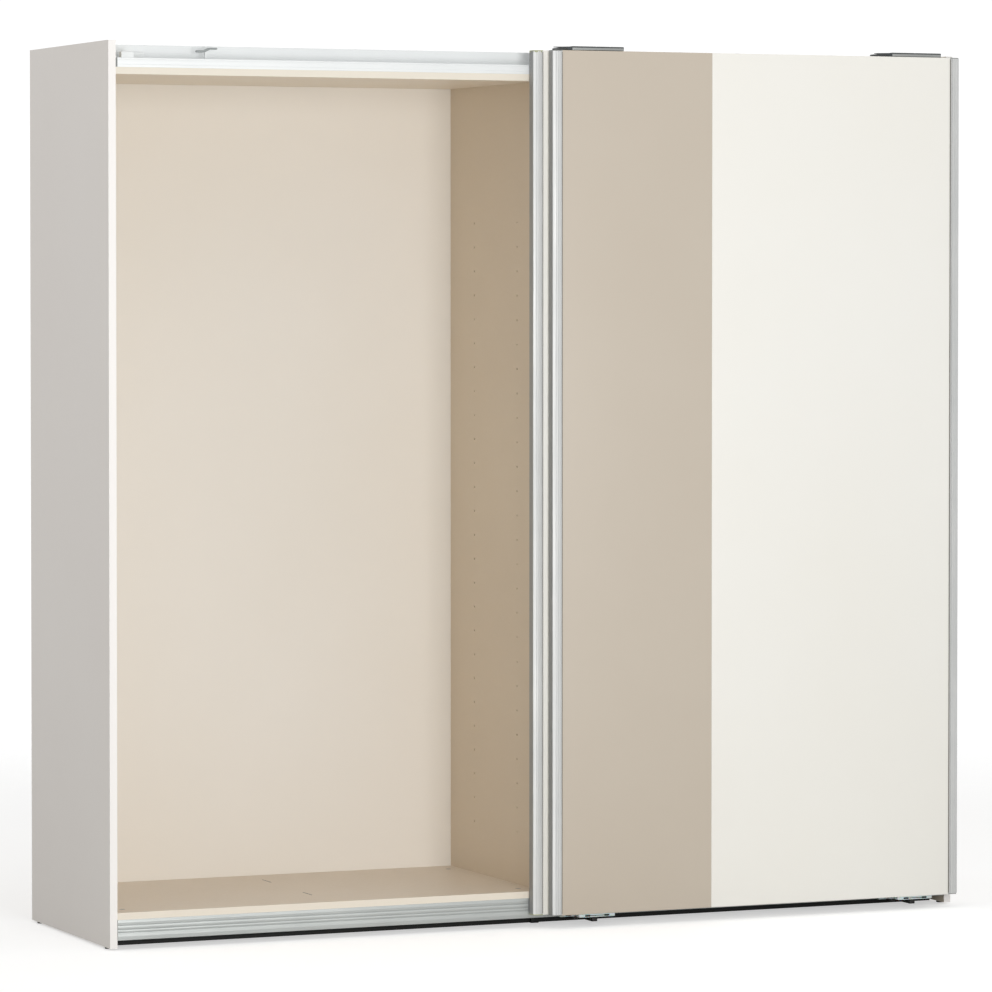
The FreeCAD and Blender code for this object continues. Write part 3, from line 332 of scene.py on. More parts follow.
def side_effect():
    """Which side of a plane a point is on: Mask is 1 where place . Facing is over Beyond,
    with a soft step as wide as Blur."""
    tree, given, result = effect(
        "beyond_plane",
        [("Facing", "Vector", (0, 0, 1)), ("Beyond", "Float", 0), ("Blur", "Float", 0.0001)],
        [("Mask", "Float")])
    place = put(tree, "ShaderNodeTexCoord").outputs["Object"]
    along = put(tree, "ShaderNodeVectorMath", {0: place, 1: given.outputs["Facing"]},
                operation="DOT_PRODUCT").outputs["Value"]
    past = reckon(tree, "SUBTRACT", along, given.outputs["Beyond"])
    mask = reckon(tree, "DIVIDE", past, given.outputs["Blur"], clamp=True)
    tree.links.new(mask, result.inputs["Mask"])
    return tree


def dust_effect():
    """Dust that has settled: Mask is high on faces that look up, in patches."""
    tree, given, result = effect("settled_dust", [("Amount", "Float", 0.3)], [("Mask", "Float")])
    place = put(tree, "ShaderNodeTexCoord").outputs["Object"]
    normal = put(tree, "ShaderNodeNewGeometry").outputs["Normal"]
    up = put(tree, "ShaderNodeSeparateXYZ", {0: normal}).outputs[2]
    patches = put(tree, "ShaderNodeTexNoise", {"Vector": place, "Scale": 14.0, "Detail": 4.0})
    mask = reckon(tree, "MULTIPLY", reckon(tree, "MULTIPLY", up, patches.outputs["Fac"],
                                           clamp=True), given.outputs["Amount"], clamp=True)
    tree.links.new(mask, result.inputs["Mask"])
    return tree


GRAIN, EDGES, SIDE, DUST = grain_effect(), edge_effect(), side_effect(), dust_effect()


def use(tree, group, **inputs):
    """The group placed in a material with its own values."""
    made = put(tree, "ShaderNodeGroup", node_tree=group)
    for key, value in inputs.items():
        made.inputs[key].default_value = value
    return made


class Finish:
    """A material being built: a Principled shader, the surface grain and the helpers for them."""

    def __init__(self, name, stretch=(1, 1, 1), fineness=400.0, drift=2.0):
        self.material = bpy.data.materials.new(name)
        self.material.use_nodes = True
        self.tree = self.material.node_tree
        self.shader = self.tree.nodes["Principled BSDF"]
        self.grain = use(self.tree, GRAIN, Stretch=stretch, Fineness=fineness, Drift=drift)

    def set(self, **sockets):
        """Constants on the shader's own sockets, their names with _ for a space."""
        for key, value in sockets.items():
            self.shader.inputs[key.replace("_", " ")].default_value = value
        return self

    def drifting(self, light, dark):
        """A colour that wanders between two near shades."""
        wide = put(self.tree, "ShaderNodeMapRange",
                   {"Value": self.grain.outputs["Tone"], "From Min": 0.3, "From Max": 0.7})
        return blended(self.tree, wide.outputs["Result"], light, dark)

    def worn(self, colour, low, high, reach, rubbed, strength):
        """The colour, with the edges of its box rubbed towards another."""
        mask = use(self.tree, EDGES, Low=tuple(low), High=tuple(high), Reach=reach)
        amount = reckon(self.tree, "MULTIPLY", mask.outputs["Mask"], strength)
        return blended(self.tree, amount, colour, rubbed)

    def dusted(self, colour, amount, dust=tint(214, 210, 202)):
        """The colour with settled dust on it."""
        mask = use(self.tree, DUST, Amount=amount)
        return blended(self.tree, mask.outputs["Mask"], colour, dust)

    def beyond(self, facing, beyond, blur=0.0002):
        """The mask of one side of a plane."""
        return use(self.tree, SIDE, Facing=facing, Beyond=beyond, Blur=blur).outputs["Mask"]

    def done(self, colour, rough, spread, relief):
        """Joins colour, roughness about a value and relief in metres to the shader."""
        self.tree.links.new(colour, self.shader.inputs["Base Color"])
        roughness = put(self.tree, "ShaderNodeMapRange",
                        {"Value": self.grain.outputs["Height"], "From Min": 0.3,
                         "From Max": 0.7, "To Min": rough - spread, "To Max": rough + spread})
        self.tree.links.new(roughness.outputs["Result"], self.shader.inputs["Roughness"])
        bump = put(self.tree, "ShaderNodeBump", {"Height": self.grain.outputs["Height"],
                                                 "Strength": 1.0, "Distance": relief})
        self.tree.links.new(bump.outputs["Normal"], self.shader.inputs["Normal"])
        return self.material


WHITE, WHITE_SHADE, WHITE_EDGE = tint(240, 235, 229), tint(237, 231, 225), tint(244, 241, 238)
CREAM, CREAM_SHADE = tint(236, 225, 208), tint(232, 220, 202)
# The partition's deeper cream is painted shade.
SHADED_PARTITION_CREAM, SHADED_PARTITION_CREAM_DEEP = tint(212, 197, 175), tint(207, 191, 169)
# The bottom boards' deeper cream is painted shade.
SHADED_FLOOR_BOARD, SHADED_FLOOR_BOARD_DEEP = tint(224, 212, 196), tint(219, 206, 189)
TOP_EDGE, FLOOR_BOARD_EDGE = tint(230, 223, 209), tint(234, 225, 210)
BACK_FACE, BACK_FACE_SHADE = tint(237, 232, 224), tint(234, 228, 218)
RAW_BOARD, RAW_BOARD_PALE = tint(194, 169, 137), tint(208, 186, 154)
BAND_LINE = tint(186, 178, 164)
WHITE_RUBBED, CREAM_RUBBED = tint(250, 249, 246), tint(246, 240, 228)
BAND_THICKNESS, BAND_JOINT_END = 0.3 * MM, 1.3 * MM
FACE_SKIN = 0.5 * MM
BOARD_RUB = 1.2 * MM
MELAMINE_RELIEF, SATIN_RELIEF = 0.00005, 0.00006


def side_board(node, outward):
    """A side: white outside and on the front edge, cream inside, with the joint line of the
    edge band. The partition, for which outward is 0, is a deeper cream all over: painted
    shade, for the lesser light on its faces."""
    low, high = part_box(node)
    finish = Finish(f"{node}_melamine", fineness=520.0, drift=1.3)
    tree = finish.tree
    if outward:
        face = high[0] if outward > 0 else -low[0]
        white = finish.beyond((outward, 0, 0), face - FACE_SKIN)
        colour = blended(tree, white, finish.drifting(CREAM, CREAM_SHADE),
                         finish.drifting(WHITE, WHITE_SHADE))
        edge = WHITE_EDGE
    else:
        # Painted shade: the partition is a deeper cream all over.
        colour = edge = finish.drifting(SHADED_PARTITION_CREAM, SHADED_PARTITION_CREAM_DEEP)
    front = finish.beyond((0, -1, 0), -low[1] - BAND_THICKNESS)
    colour = blended(tree, front, colour, edge)
    joint = reckon(tree, "SUBTRACT",
                   finish.beyond((0, -1, 0), -low[1] - BAND_JOINT_END, 0.0004), front, clamp=True)
    colour = blended(tree, reckon(tree, "MULTIPLY", joint, 0.35), colour, BAND_LINE)
    colour = finish.worn(colour, low, high, BOARD_RUB, WHITE_RUBBED, 0.5)
    finish.set(Specular_IOR_Level=0.42, Coat_Weight=0.08, Coat_Roughness=0.3)
    return finish.done(finish.dusted(colour, 0.05), 0.42, 0.06, MELAMINE_RELIEF)


def cream_board(node):
    """Cream melamine with a paler band on the front edge; the bottom boards are painted a
    deeper cream as painted shade.
    """
    low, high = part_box(node)
    finish = Finish(f"{node}_melamine", fineness=520.0, drift=1.6)
    if high[2] > 1:
        colour, edge = finish.drifting(CREAM, CREAM_SHADE), TOP_EDGE
    # Painted shade: the bottom boards take a deeper cream.
    else:
        colour, edge = finish.drifting(SHADED_FLOOR_BOARD, SHADED_FLOOR_BOARD_DEEP), FLOOR_BOARD_EDGE
    front = finish.beyond((0, -1, 0), -low[1] - BAND_THICKNESS)
    colour = blended(finish.tree, front, colour, edge)
    colour = finish.worn(colour, low, high, BOARD_RUB, CREAM_RUBBED, 0.5)
    finish.set(Specular_IOR_Level=0.42, Coat_Weight=0.06, Coat_Roughness=0.3)
    return finish.done(finish.dusted(colour, 0.05), 0.44, 0.06, MELAMINE_RELIEF)


def back_sheet(node):
    """Hardboard: printed cream in front, raw brown fibre behind."""
    rear_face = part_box(node)[1][1]
    finish = Finish(f"{node}_hardboard", fineness=650.0, drift=0.9)
    tree = finish.tree
    front = finish.drifting(BACK_FACE, BACK_FACE_SHADE)
    fibre = put(tree, "ShaderNodeTexNoise",
                {"Vector": put(tree, "ShaderNodeTexCoord").outputs["Object"], "Scale": 180.0,
                 "Detail": 6.0, "Roughness": 0.7})
    raw = blended(tree, fibre.outputs["Fac"], RAW_BOARD_PALE, RAW_BOARD)
    rear = finish.beyond((0, 1, 0), rear_face - FACE_SKIN)
    colour = blended(tree, rear, front, raw)
    finish.set(Specular_IOR_Level=0.35)
    return finish.done(colour, 0.55, 0.08, SATIN_RELIEF)


def lacquer(name, light, dark, low, high):
    """Satin lacquer with faint orange peel and slightly paler rubbed edges."""
    finish = Finish(name, fineness=300.0, drift=1.1)
    colour = finish.drifting(light, dark)
    paler = tuple(min(1.0, channel * 1.12) for channel in light[:3]) + (1.0,)
    colour = finish.worn(colour, low, high, 1.5 * MM, paler, 0.6)
    finish.set(Specular_IOR_Level=0.38, Coat_Weight=0.10, Coat_Roughness=0.28)
    return finish.done(colour, 0.4, 0.05, SATIN_RELIEF)


# Painted shade: the grey that the side faces of metal are painted towards.
SIDE_PAINTED_SHADE = tint(96, 96, 94)


def metal(name, light, dark, stretch, rough, relief=0.00004, fineness=900.0, coat=0.0,
          metallic=1.0, painted_side_shade=0.0):
    """Drawn or plated metal: fine streaks along the axis of least stretch. The last argument is
    how far the faces that look along X are painted towards a grey: painted shade on side faces."""
    finish = Finish(name, stretch=stretch, fineness=fineness, drift=5.0)
    streak = put(finish.tree, "ShaderNodeMapRange",
                 {"Value": finish.grain.outputs["Height"], "From Min": 0.35, "From Max": 0.65})
    colour = blended(finish.tree, streak.outputs["Result"], light, dark)
    colour = blended(finish.tree, 0.5, colour, finish.drifting(light, dark))
    # Painted shade: faces that look along X are darkened towards a grey.
    if painted_side_shade:
        normal = put(finish.tree, "ShaderNodeNewGeometry").outputs["Normal"]
        across = put(finish.tree, "ShaderNodeSeparateXYZ", {0: normal}).outputs[0]
        square = reckon(finish.tree, "MULTIPLY", across, across)
        amount = put(finish.tree, "ShaderNodeMapRange",
                     {"Value": square, "From Min": 0.25, "From Max": 0.95,
                      "To Max": painted_side_shade}).outputs["Result"]
        colour = blended(finish.tree, amount, colour, SIDE_PAINTED_SHADE)
    finish.set(Metallic=metallic, Coat_Weight=coat, Coat_Roughness=0.2)
    return finish.done(finish.dusted(colour, 0.08), rough, 0.07, relief)


def plastic(name, light, dark, rough, fineness=700.0, relief=0.00012, **sockets):
    """Moulded plastic or rubber with a spark-eroded texture."""
    finish = Finish(name, fineness=fineness, drift=9.0)
    colour = finish.drifting(light, dark)
    finish.set(Specular_IOR_Level=0.4, **sockets)
    return finish.done(finish.dusted(colour, 0.12), rough, 0.06, relief)


def beech():
    """Dowel wood: long fibres with darker pores."""
    finish = Finish("beech_dowel", stretch=(0.08, 1, 1), fineness=900.0, drift=20.0)
    colour = blended(finish.tree, finish.grain.outputs["Height"], tint(206, 170, 126),
                     tint(182, 143, 98))
    return finish.done(colour, 0.6, 0.08, 0.0001)


# Painted shade: the black of the plinths, their seals and the partition's foot cover stands for
# the shade under the bottom rail.
PLINTH_SHADE_BLACK = plastic("plinth_shade_black", tint(30, 32, 31), tint(22, 24, 24), 0.5, 500.0, 0.00006)
RAIL_METAL = metal("rail_aluminium", tint(200, 204, 203), tint(180, 185, 184),
                   (0.012, 1, 1), 0.42, coat=0.1, metallic=0.8)
RAIL_PALE = metal("rail_pale_anodised", tint(238, 241, 241), tint(231, 234, 235),
                  (0.012, 1, 1), 0.38, metallic=0.15)
# The stiles' side faces are painted darker, as painted shade.
STILE_METAL = metal("stile_aluminium", tint(214, 215, 214), tint(200, 202, 202),
                    (1, 1, 0.012), 0.54, coat=0.05, metallic=0.4, painted_side_shade=0.6)
STEEL = metal("zinc_plated_steel", tint(206, 206, 202), tint(180, 182, 182), (1, 1, 1), 0.32,
              0.00003, 500.0)
STRIP_STEEL = metal("joint_strip_steel", tint(196, 198, 198), tint(170, 173, 174),
                    (1, 1, 0.02), 0.4)
CAM_ZINC = metal("cam_zinc", tint(186, 188, 190), tint(160, 163, 166), (1, 1, 1), 0.45,
                 0.00008, 800.0)
CARRIER_DARK = plastic("carrier_enamel", tint(66, 70, 72), tint(50, 54, 56), 0.42, 600.0,
                       0.00006, Coat_Weight=0.2)
CARRIER_PALE = metal("carrier_brow_zinc", tint(176, 178, 176), tint(156, 159, 158),
                     (0.05, 1, 1), 0.45, metallic=0.7)
GUIDE_PALE = plastic("guide_plastic", tint(206, 216, 215), tint(190, 202, 202), 0.35, 400.0,
                     0.00005, Subsurface_Weight=0.25, Subsurface_Scale=0.004)
# Painted shade: the dark of the guides' slots stands for the shade in their holes.
SOCKET_SHADE_DARK = plastic("socket_shadow", tint(38, 42, 42), tint(28, 30, 30), 0.6)
# Black of the real feet and glides; on the guide arms this black is painted shade.
FOOT_BLACK_AND_ARM_SHADE = plastic("foot_plastic", tint(44, 44, 44), tint(32, 32, 32), 0.5)
STOP_PALE = plastic("stop_rubber", tint(238, 241, 241), tint(230, 233, 233), 0.6, 300.0, 0.0002)
CATCH_GREY = plastic("catch_plastic", tint(158, 163, 163), tint(142, 148, 148), 0.45)
CAP_GREY = plastic("cap_plastic", tint(150, 152, 150), tint(132, 134, 133), 0.5)
# Partly a seal's grey and partly painted shade, for the shadow line of the stile's lip.
SEAL_AND_SHADE_GREY = plastic("panel_seal_and_shade_grey", tint(124, 121, 115), tint(108, 105, 99), 0.6)
CAP_OLIVE = plastic("cap_plastic_olive", tint(214, 217, 176), tint(128, 131, 98), 0.5)
NYLON = plastic("wheel_nylon", tint(232, 232, 226), tint(220, 220, 213), 0.4, 500.0,
                0.00005, Subsurface_Weight=0.1, Subsurface_Scale=0.002)
PILE = plastic("brush_pile", tint(238, 238, 220), tint(222, 223, 200), 0.8, 2500.0, 0.0003,
               Sheen_Weight=0.4)
BEECH = beech()


def paint(node, finish):
    """Gives a CAD node one finish."""
    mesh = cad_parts[node].data
    mesh.materials.clear()
    mesh.materials.append(finish)


# --- carcass -------------------------------------------------------------------------------------

paint("left_side_panel", side_board("left_side_panel", -1))
paint("right_side_panel", side_board("right_side_panel", 1))
paint("centre_partition", side_board("centre_partition", 0))
for hand in ("left", "right"):
    paint(f"{hand}_top_panel", cream_board(f"{hand}_top_panel"))
    paint(f"{hand}_bottom_panel", cream_board(f"{hand}_bottom_panel"))
    paint(f"{hand}_back_panel", back_sheet(f"{hand}_back_panel"))
    # Painted shade: the plinths are black, dark as the shade under the bottom rail.
    paint(f"{hand}_plinth", PLINTH_SHADE_BLACK)
for node, finish in (("support_feet", FOOT_BLACK_AND_ARM_SHADE), ("floor_glides", FOOT_BLACK_AND_ARM_SHADE),
                     ("cam_bolts", STEEL), ("wood_dowels", BEECH)):
    paint(node, finish)

cams = []
for low, high in solids_of("cam_locks"):
    middle = (low + high) / 2
    radius = (high[0] - low[0]) / 2
    cams.append(cross_head((middle[0], middle[1], high[2] - 1.2 * MM), "z", radius, 1.0 * MM,
                           radius, high[2] - low[2] - 1.3 * MM, 1.0, 0.05))
piece("cam_lock_faces", cams, CAM_ZINC, "carcass", ["cam_locks"])


def screws(node, body, axis, way):
    """Pan-head screws where the CAD node has them; way is the side that the heads are on."""
    index = "xyz".index(axis)
    heads = []
    for low, high in solids_of(node):
        middle = (low + high) / 2
        seat = middle.copy()
        seat[index] = high[index] - 2 * MM if way > 0 else low[index] + 2 * MM
        heads.append(cross_head(seat, axis, 4 * MM, 2 * MM, 1.9 * MM, 12.5 * MM, way, 0.55))
    piece(f"{node}_heads", heads, STEEL, body, [node])


screws("back_panel_screws", "carcass", "y", 1)
screws("top_rail_screws", "carcass", "z", 1)
screws("bottom_rail_screws", "carcass", "z", -1)


def from_front(points, base, up=1.0):
    """Outline points in millimetres, (back from the carcass front, up from a base)."""
    points = np.asarray(points, float) * MM
    return np.stack([RAIL_FRONT + points[:, 0], base + up * points[:, 1]], axis=1)


def top_rail():
    """Fascia, two running ribs with round crests and a rear web on a flat sole. The fascia's
    face has two fine grooves."""
    low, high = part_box("top_rail")
    outline = [(0, 0), (0, 6.2), (0.5, 6.7), (0, 7.2), (0, 17.6), (0.6, 18.2), (0, 18.8), (0, 22),
               (2, 22), (2, 2), (12.5, 2), (12.5, 18), (15.5, 18), (15.5, 2), (42.5, 2),
               (42.5, 18), (45.5, 18), (45.5, 2), (60, 2), (60, 54), (62, 54), (62, 0)]
    radii = np.array([0.6, 0.2, 0.25, 0.2, 0.2, 0.25, 0.2, 0.7, 0.7, 1.2, 1.2, 1.4, 1.4, 1.2,
                      1.2, 1.4, 1.4, 1.2, 1.2, 0.8, 0.8, 0.5]) * MM
    shape = bar(rounded(from_front(outline, low[2]), radii, 4), low[0], high[0], "x")
    piece("top_rail_profile", [shape], RAIL_PALE, "carcass", ["top_rail"],
          math.radians(50))


def bottom_rail():
    """Apron, two guide channels and a rear lip under a flat sole. The apron's face waves by
    up to 0.5 mm. At distance d from each of three lines it is cut 1.1 (1 - (d / 0.9)^2)^0.6 deep,
    in millimetres, where that is deeper than the wave."""
    low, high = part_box("bottom_rail")
    lines = np.array([13.5, 23.3, 30.0])
    line_depth, line_reach = 1.1, 0.9
    down = np.linspace(0.5, 47.5, 180)
    nearest = np.min(abs(down[:, None] - lines[None]), axis=1)
    dent = line_depth * np.clip(1 - (nearest / line_reach) ** 2, 0, 1) ** 0.6
    waves = np.interp(down, [0.5, 7, 13, 18, 23, 26.5, 30, 39, 47.5],
                      [0.5, 0.05, 0.4, 0.05, 0.4, 0.1, 0.4, 0.0, 0.45])
    face = np.stack([np.maximum(dent, waves), -down], axis=1)
    rest = [(0.5, -48), (2, -48), (2, -2), (9.5, -2), (9.5, -44), (11.5, -44), (11.5, -2),
            (16.5, -2), (16.5, -44), (18.5, -44), (18.5, -2), (39.5, -2), (39.5, -44),
            (41.5, -44), (41.5, -2), (46.5, -2), (46.5, -44), (48.5, -44), (48.5, -2), (60, -2),
            (60, -20), (62, -20), (62, 0), (0.6, 0)]
    soft = rounded(np.array(rest), np.array([0.4] + [0.6] * (len(rest) - 2) + [0.3]), 4)
    outline = from_front(np.concatenate([face, soft]), high[2])
    shape = bar(outline, low[0], high[0], "x")
    piece("bottom_rail_profile", [shape], RAIL_METAL, "carcass",
          ["bottom_rail"], math.radians(50))


RAIL_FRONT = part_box("top_rail")[0][1]
top_rail()
bottom_rail()


def trims():
    """Black seals under the plinths, a cover on the partition's foot, and grey gaskets at both
    ends of the top rail's fascia. The seals, the cover and the plinths are black as painted
    shade, dark as the shade under the bottom rail."""
    seals = []
    proud, reach, bottom = 0.4 * MM, 3 * MM, 0.9 * MM
    for hand in ("left", "right"):
        low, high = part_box(f"{hand}_plinth")
        front, rear = low[1] - proud, low[1] + reach
        lip = np.array([(front, bottom), (rear, bottom), (rear, 7 * MM), (front, 6 * MM)])
        seals.append(bar(rounded(lip, 0.6 * MM, 4), low[0], high[0], "x"))
    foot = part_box("centre_partition")[0][1] + 63 * MM
    half_width, height = 9.8 * MM, 21.5 * MM
    seals.append(slab((-half_width, foot - 0.6 * MM, bottom),
                      (half_width, foot + 12 * MM, height), 0.3 * MM))
    # Painted shade: seals and cover are black, dark as the shade under the bottom rail.
    piece("plinth_seals", seals, PLINTH_SHADE_BLACK, "carcass")
    low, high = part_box("top_rail")
    gaskets = [slab((x, low[1] - 0.3 * MM, low[2] + 0.5 * MM),
                    (x + 3.6 * MM, low[1] + 2.4 * MM, low[2] + height), 0.2 * MM)
               for x in (low[0] - 0.4 * MM, high[0] - 3.2 * MM)]
    piece("top_rail_gaskets", gaskets, CAP_GREY, "carcass")


trims()


def track_stops(node, near, far):
    """Rubber blocks that straddle a running rib, with soft top corners; near and far are the
    millimetres from the rib's middle to the block's two sides."""
    blocks = []
    for low, high in solids_of(node):
        track = low[1] - near * MM
        base = low[2]
        outline = np.array([(near, 0.2), (-1.7, 0.2), (-1.7, 16.2), (1.7, 16.2), (1.7, 0.2),
                            (far, 0.2), (far, 34), (near, 34)]) * MM
        outline[:, 0] += track
        outline[:, 1] += base
        radii = np.array([0.6, 0.4, 0.8, 0.8, 0.4, 0.6, 2.5, 2.5]) * MM
        blocks.append(bar(rounded(outline, radii, 6), low[0], high[0], "x", 1.2 * MM))
    piece(f"{node}_rubber", blocks, STOP_PALE, "carcass", [node])


track_stops("inner_track_stops", -11, 5)
track_stops("outer_track_stops", -5, 11)


def soft_close_catches():
    """S-shaped catches: two tabs that point opposite ways, joined by a slope, on a pale stem
    with a foot."""
    hooks, stems = [], []
    for low, high in solids_of("soft_close_catches"):
        sign = 1 if low[0] < 0 else -1
        start = low[0] if low[0] < 0 else high[0]
        hook = [(-4, 36), (16, 36), (31, 43), (48, 43), (48, 47.5), (29, 47.5), (13, 41),
                (-4, 41)]
        stem = [(4, 0), (36, 0), (36, 3), (23, 3), (23, 39), (17, 37), (17, 3), (4, 3)]
        for shapes, outline, radius in ((hooks, hook, 3), (stems, stem, 1)):
            outline = np.array(outline) * MM
            outline[:, 0] = start + sign * outline[:, 0]
            outline[:, 1] += low[2]
            shapes.append(bar(rounded(outline, radius * MM, 6), low[1], high[1], "y", 0.6 * MM))
    piece("soft_close_hooks", hooks, CATCH_GREY, "carcass",
          ["soft_close_catches"])
    piece("soft_close_stems", stems, STOP_PALE, "carcass")


soft_close_catches()


# --- doors ---------------------------------------------------------------------------------------

TAUPE, TAUPE_SHADE = tint(200, 190, 176), tint(196, 185, 170)
DOOR_WHITE, DOOR_WHITE_SHADE = tint(240, 239, 234), tint(238, 236, 229)


def door_panels(door):
    """The white and the taupe panel: slabs with 0.8 mm edges."""
    for colour, light, dark in (("white", DOOR_WHITE, DOOR_WHITE_SHADE),
                                ("taupe", TAUPE, TAUPE_SHADE)):
        node = f"{door}_{colour}_panel"
        low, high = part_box(node)
        piece(f"{node}_slab", [slab(low, high, 0.8 * MM)],
              lacquer(f"{node}_lacquer", light, dark, low, high), door, [node])


def stile_outline():
    """(from the outer side, back from the front) in millimetres. The front is a crown that
    falls away towards the outer side as 2.6 (1 - a / 15)^2, with two fine grooves; between
    the crown and the lip over the panel runs a deeper groove."""
    across = np.linspace(0.35, 18.8, 90)
    crown = 2.6 * np.clip(1 - across / 15, 0, 1) ** 2.0
    fine = sum(0.6 * np.clip(1 - ((across - middle) / 0.75) ** 2, 0, 1) for middle in (8, 14))
    face = np.stack([across, crown + fine + 0.05], axis=1)
    rest = np.array([(19.6, 0.35), (20.2, 1.75), (21.6, 1.75), (22.2, 0.8), (25, 0.9), (25, 1.95),
                     (15, 1.95), (15, 18.05), (25, 18.05), (25, 20.5), (23.5, 27), (0.3, 27),
                     (0, 4.6)])
    radii = np.array([0.6, 0.3, 0.3, 0.4, 0.5, 0.1, 0.1, 0.1, 0.1, 2, 1, 1, 1.4])
    return np.concatenate([face, rounded(rest, radii, 5)])


STILE = stile_outline() * MM
PANEL_SEAL = rounded([(23.2, 0.5), (25.1, 0.9), (25.5, 2.2), (23.2, 2.2)], 0.3, 4) * MM


def on_door(outline, low, high, mirrored):
    """Local outline (inwards, back) placed against the stile's box."""
    x = high[0] - outline[:, 0] if mirrored else low[0] + outline[:, 0]
    return np.stack([x, low[1] + outline[:, 1]], axis=1)


def stiles(door):
    """Both stiles, and the caps on their ends; the inner door's upper caps are deeper. The grey
    seals along the panels' edges are partly seals and partly painted shade, for the shadow line
    of the stile's lip.
    """
    lips = []
    for hand in ("left", "right"):
        node = f"{door}_{hand}_stile"
        low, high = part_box(node)
        shape = bar(on_door(STILE, low, high, hand == "right"), low[2], high[2], "z")
        piece(f"{node}_profile", [shape], STILE_METAL, door, [node],
              math.radians(40))
        # Painted shade, in part: the grey seal stands for the lip's shadow line on the panel.
        lip = on_door(PANEL_SEAL, low, high, hand == "right")
        lips.append(bar(lip, low[2] + 2 * MM, high[2] - 2 * MM, "z"))
    piece(f"{door}_panel_seals", lips, SEAL_AND_SHADE_GREY, door)
    height, finish = (5 * MM, CAP_OLIVE) if door == "left_door" else (2 * MM, CAP_GREY)
    lid = np.array([(0.4, 4.4), (3, 1.6), (9, 0.3), (19.2, 0.1), (20.4, 1.3), (22, 1), (24.9, 1),
                    (24.9, 26), (24, 26.9), (0.9, 26.9), (0.1, 26)]) * MM
    caps = []
    for low, high in solids_of(f"{door}_stile_end_caps"):
        door_low, door_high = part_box(f"{door}_left_stile")[0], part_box(f"{door}_right_stile")[1]
        mirrored = abs(high[0] - door_high[0]) < abs(low[0] - door_low[0])
        outline = on_door(rounded(lid, 0.5 * MM, 4), low, high, mirrored)
        thick = 2 * MM if low[2] < 1 else height
        bottom = low[2] if low[2] < 1 else high[2] - height
        caps.append(bar(outline, bottom, bottom + thick, "z", 0.5 * MM))
    piece(f"{door}_stile_caps", caps, finish, door, [f"{door}_stile_end_caps"])


def joint_bar(door):
    """The flat steel bar behind the joint of the two panels."""
    node = f"{door}_joint_strip"
    low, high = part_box(node)
    piece(f"{node}_bar", [slab(low, high, 0.5 * MM)], STRIP_STEEL, door, [node])


def carriers(door):
    """Roller carriers: a plate with round bends, carried along its length. The right door's
    also have a pale strip in front, three crests on top and a thin tongue at one end."""
    node = f"{door}_roller_carriers"
    cheek_foot, left_arm_top = 2.0623, 2.0763
    arm_under, arm_over = 2.095, 2.098
    strip_low, strip_high, crest_low = 2.0952, 2.1008, 2.1004
    bodies, brows, tongues = [], [], []
    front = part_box(f"{door}_left_stile")[0][1]
    for low, high in solids_of(node):
        if door == "left_door":
            rear = high[1]
            near = rear - 6 * MM
            outline = np.array([(low[1], low[2]), (low[1] + 4 * MM, low[2]),
                                (low[1] + 4 * MM, cheek_foot), (near, cheek_foot),
                                (rear, cheek_foot), (rear, left_arm_top),
                                (low[1] + 4 * MM, left_arm_top),
                                (low[1] + 4 * MM, high[2]), (low[1], high[2])])
            radii = np.array([0.8, 0.8, 2.5, 0.1, 1.5, 1.5, 2.5, 0.8, 0.8]) * MM
            bodies.append(bar(rounded(outline, radii, 5), low[0], high[0], "x", 0.8 * MM))
            continue
        start = low[0] + 46 * MM
        plate, rear = front + 18 * MM, high[1]
        outline = np.array([(plate, low[2]), (plate + 4 * MM, low[2]),
                            (plate + 4 * MM, arm_over), (rear - 6 * MM, arm_over),
                            (rear - 6 * MM, cheek_foot), (rear, cheek_foot),
                            (rear, high[2] - 0.4 * MM), (low[1] + 0.6 * MM, high[2] - 0.4 * MM),
                            (low[1] + 0.6 * MM, arm_under), (plate, arm_under)])
        radii = np.array([0.8, 0.8, 2, 2, 1.5, 1.5, 3, 1.2, 0.6, 0.3]) * MM
        bodies.append(bar(rounded(outline, radii, 5), start, high[0], "x", 0.8 * MM))
        stops = start + np.array([1, 64, 66, 100, 102, 135]) * MM
        face = np.array([(low[1] - 0.4 * MM, strip_low), (low[1] + 2 * MM, strip_low),
                         (low[1] + 2 * MM, strip_high), (low[1] + 0.2 * MM, strip_high)])
        brows.append(bar(rounded(face, 0.5 * MM, 4), stops[0], stops[-1], "x", 0.4 * MM))
        crest = np.array([(low[1] + 0.2 * MM, crest_low), (low[1] + 14 * MM, crest_low),
                          (low[1] + 14 * MM, high[2]), (low[1] + 1.6 * MM, high[2])])
        crest = rounded(crest, np.array([0.3, 0.3, 0.8, 1.6]) * MM, 5)
        for k in (0, 2, 4):
            bodies.append(bar(crest, stops[k], stops[k + 1], "x", 1.4 * MM))
        blade = np.array([(1, arm_over), (1, 2.103), (-46, 2.1018), (-46, 2.1006), (-15, 2.099),
                          (-11.5, arm_under), (1, arm_under)])
        blade[:, 0] = start + blade[:, 0] * MM
        radii = np.array([0.1, 0.5, 0.5, 0.5, 6, 1, 0.1]) * MM
        tongues.append(bar(rounded(blade, radii, 6), low[1] + 0.4 * MM, low[1] + 8 * MM, "y",
                           0.4 * MM))
    piece(f"{door}_carrier_plates", bodies + tongues, CARRIER_DARK, door, [node])
    if brows:
        piece(f"{door}_carrier_brows", brows, CARRIER_PALE, door)


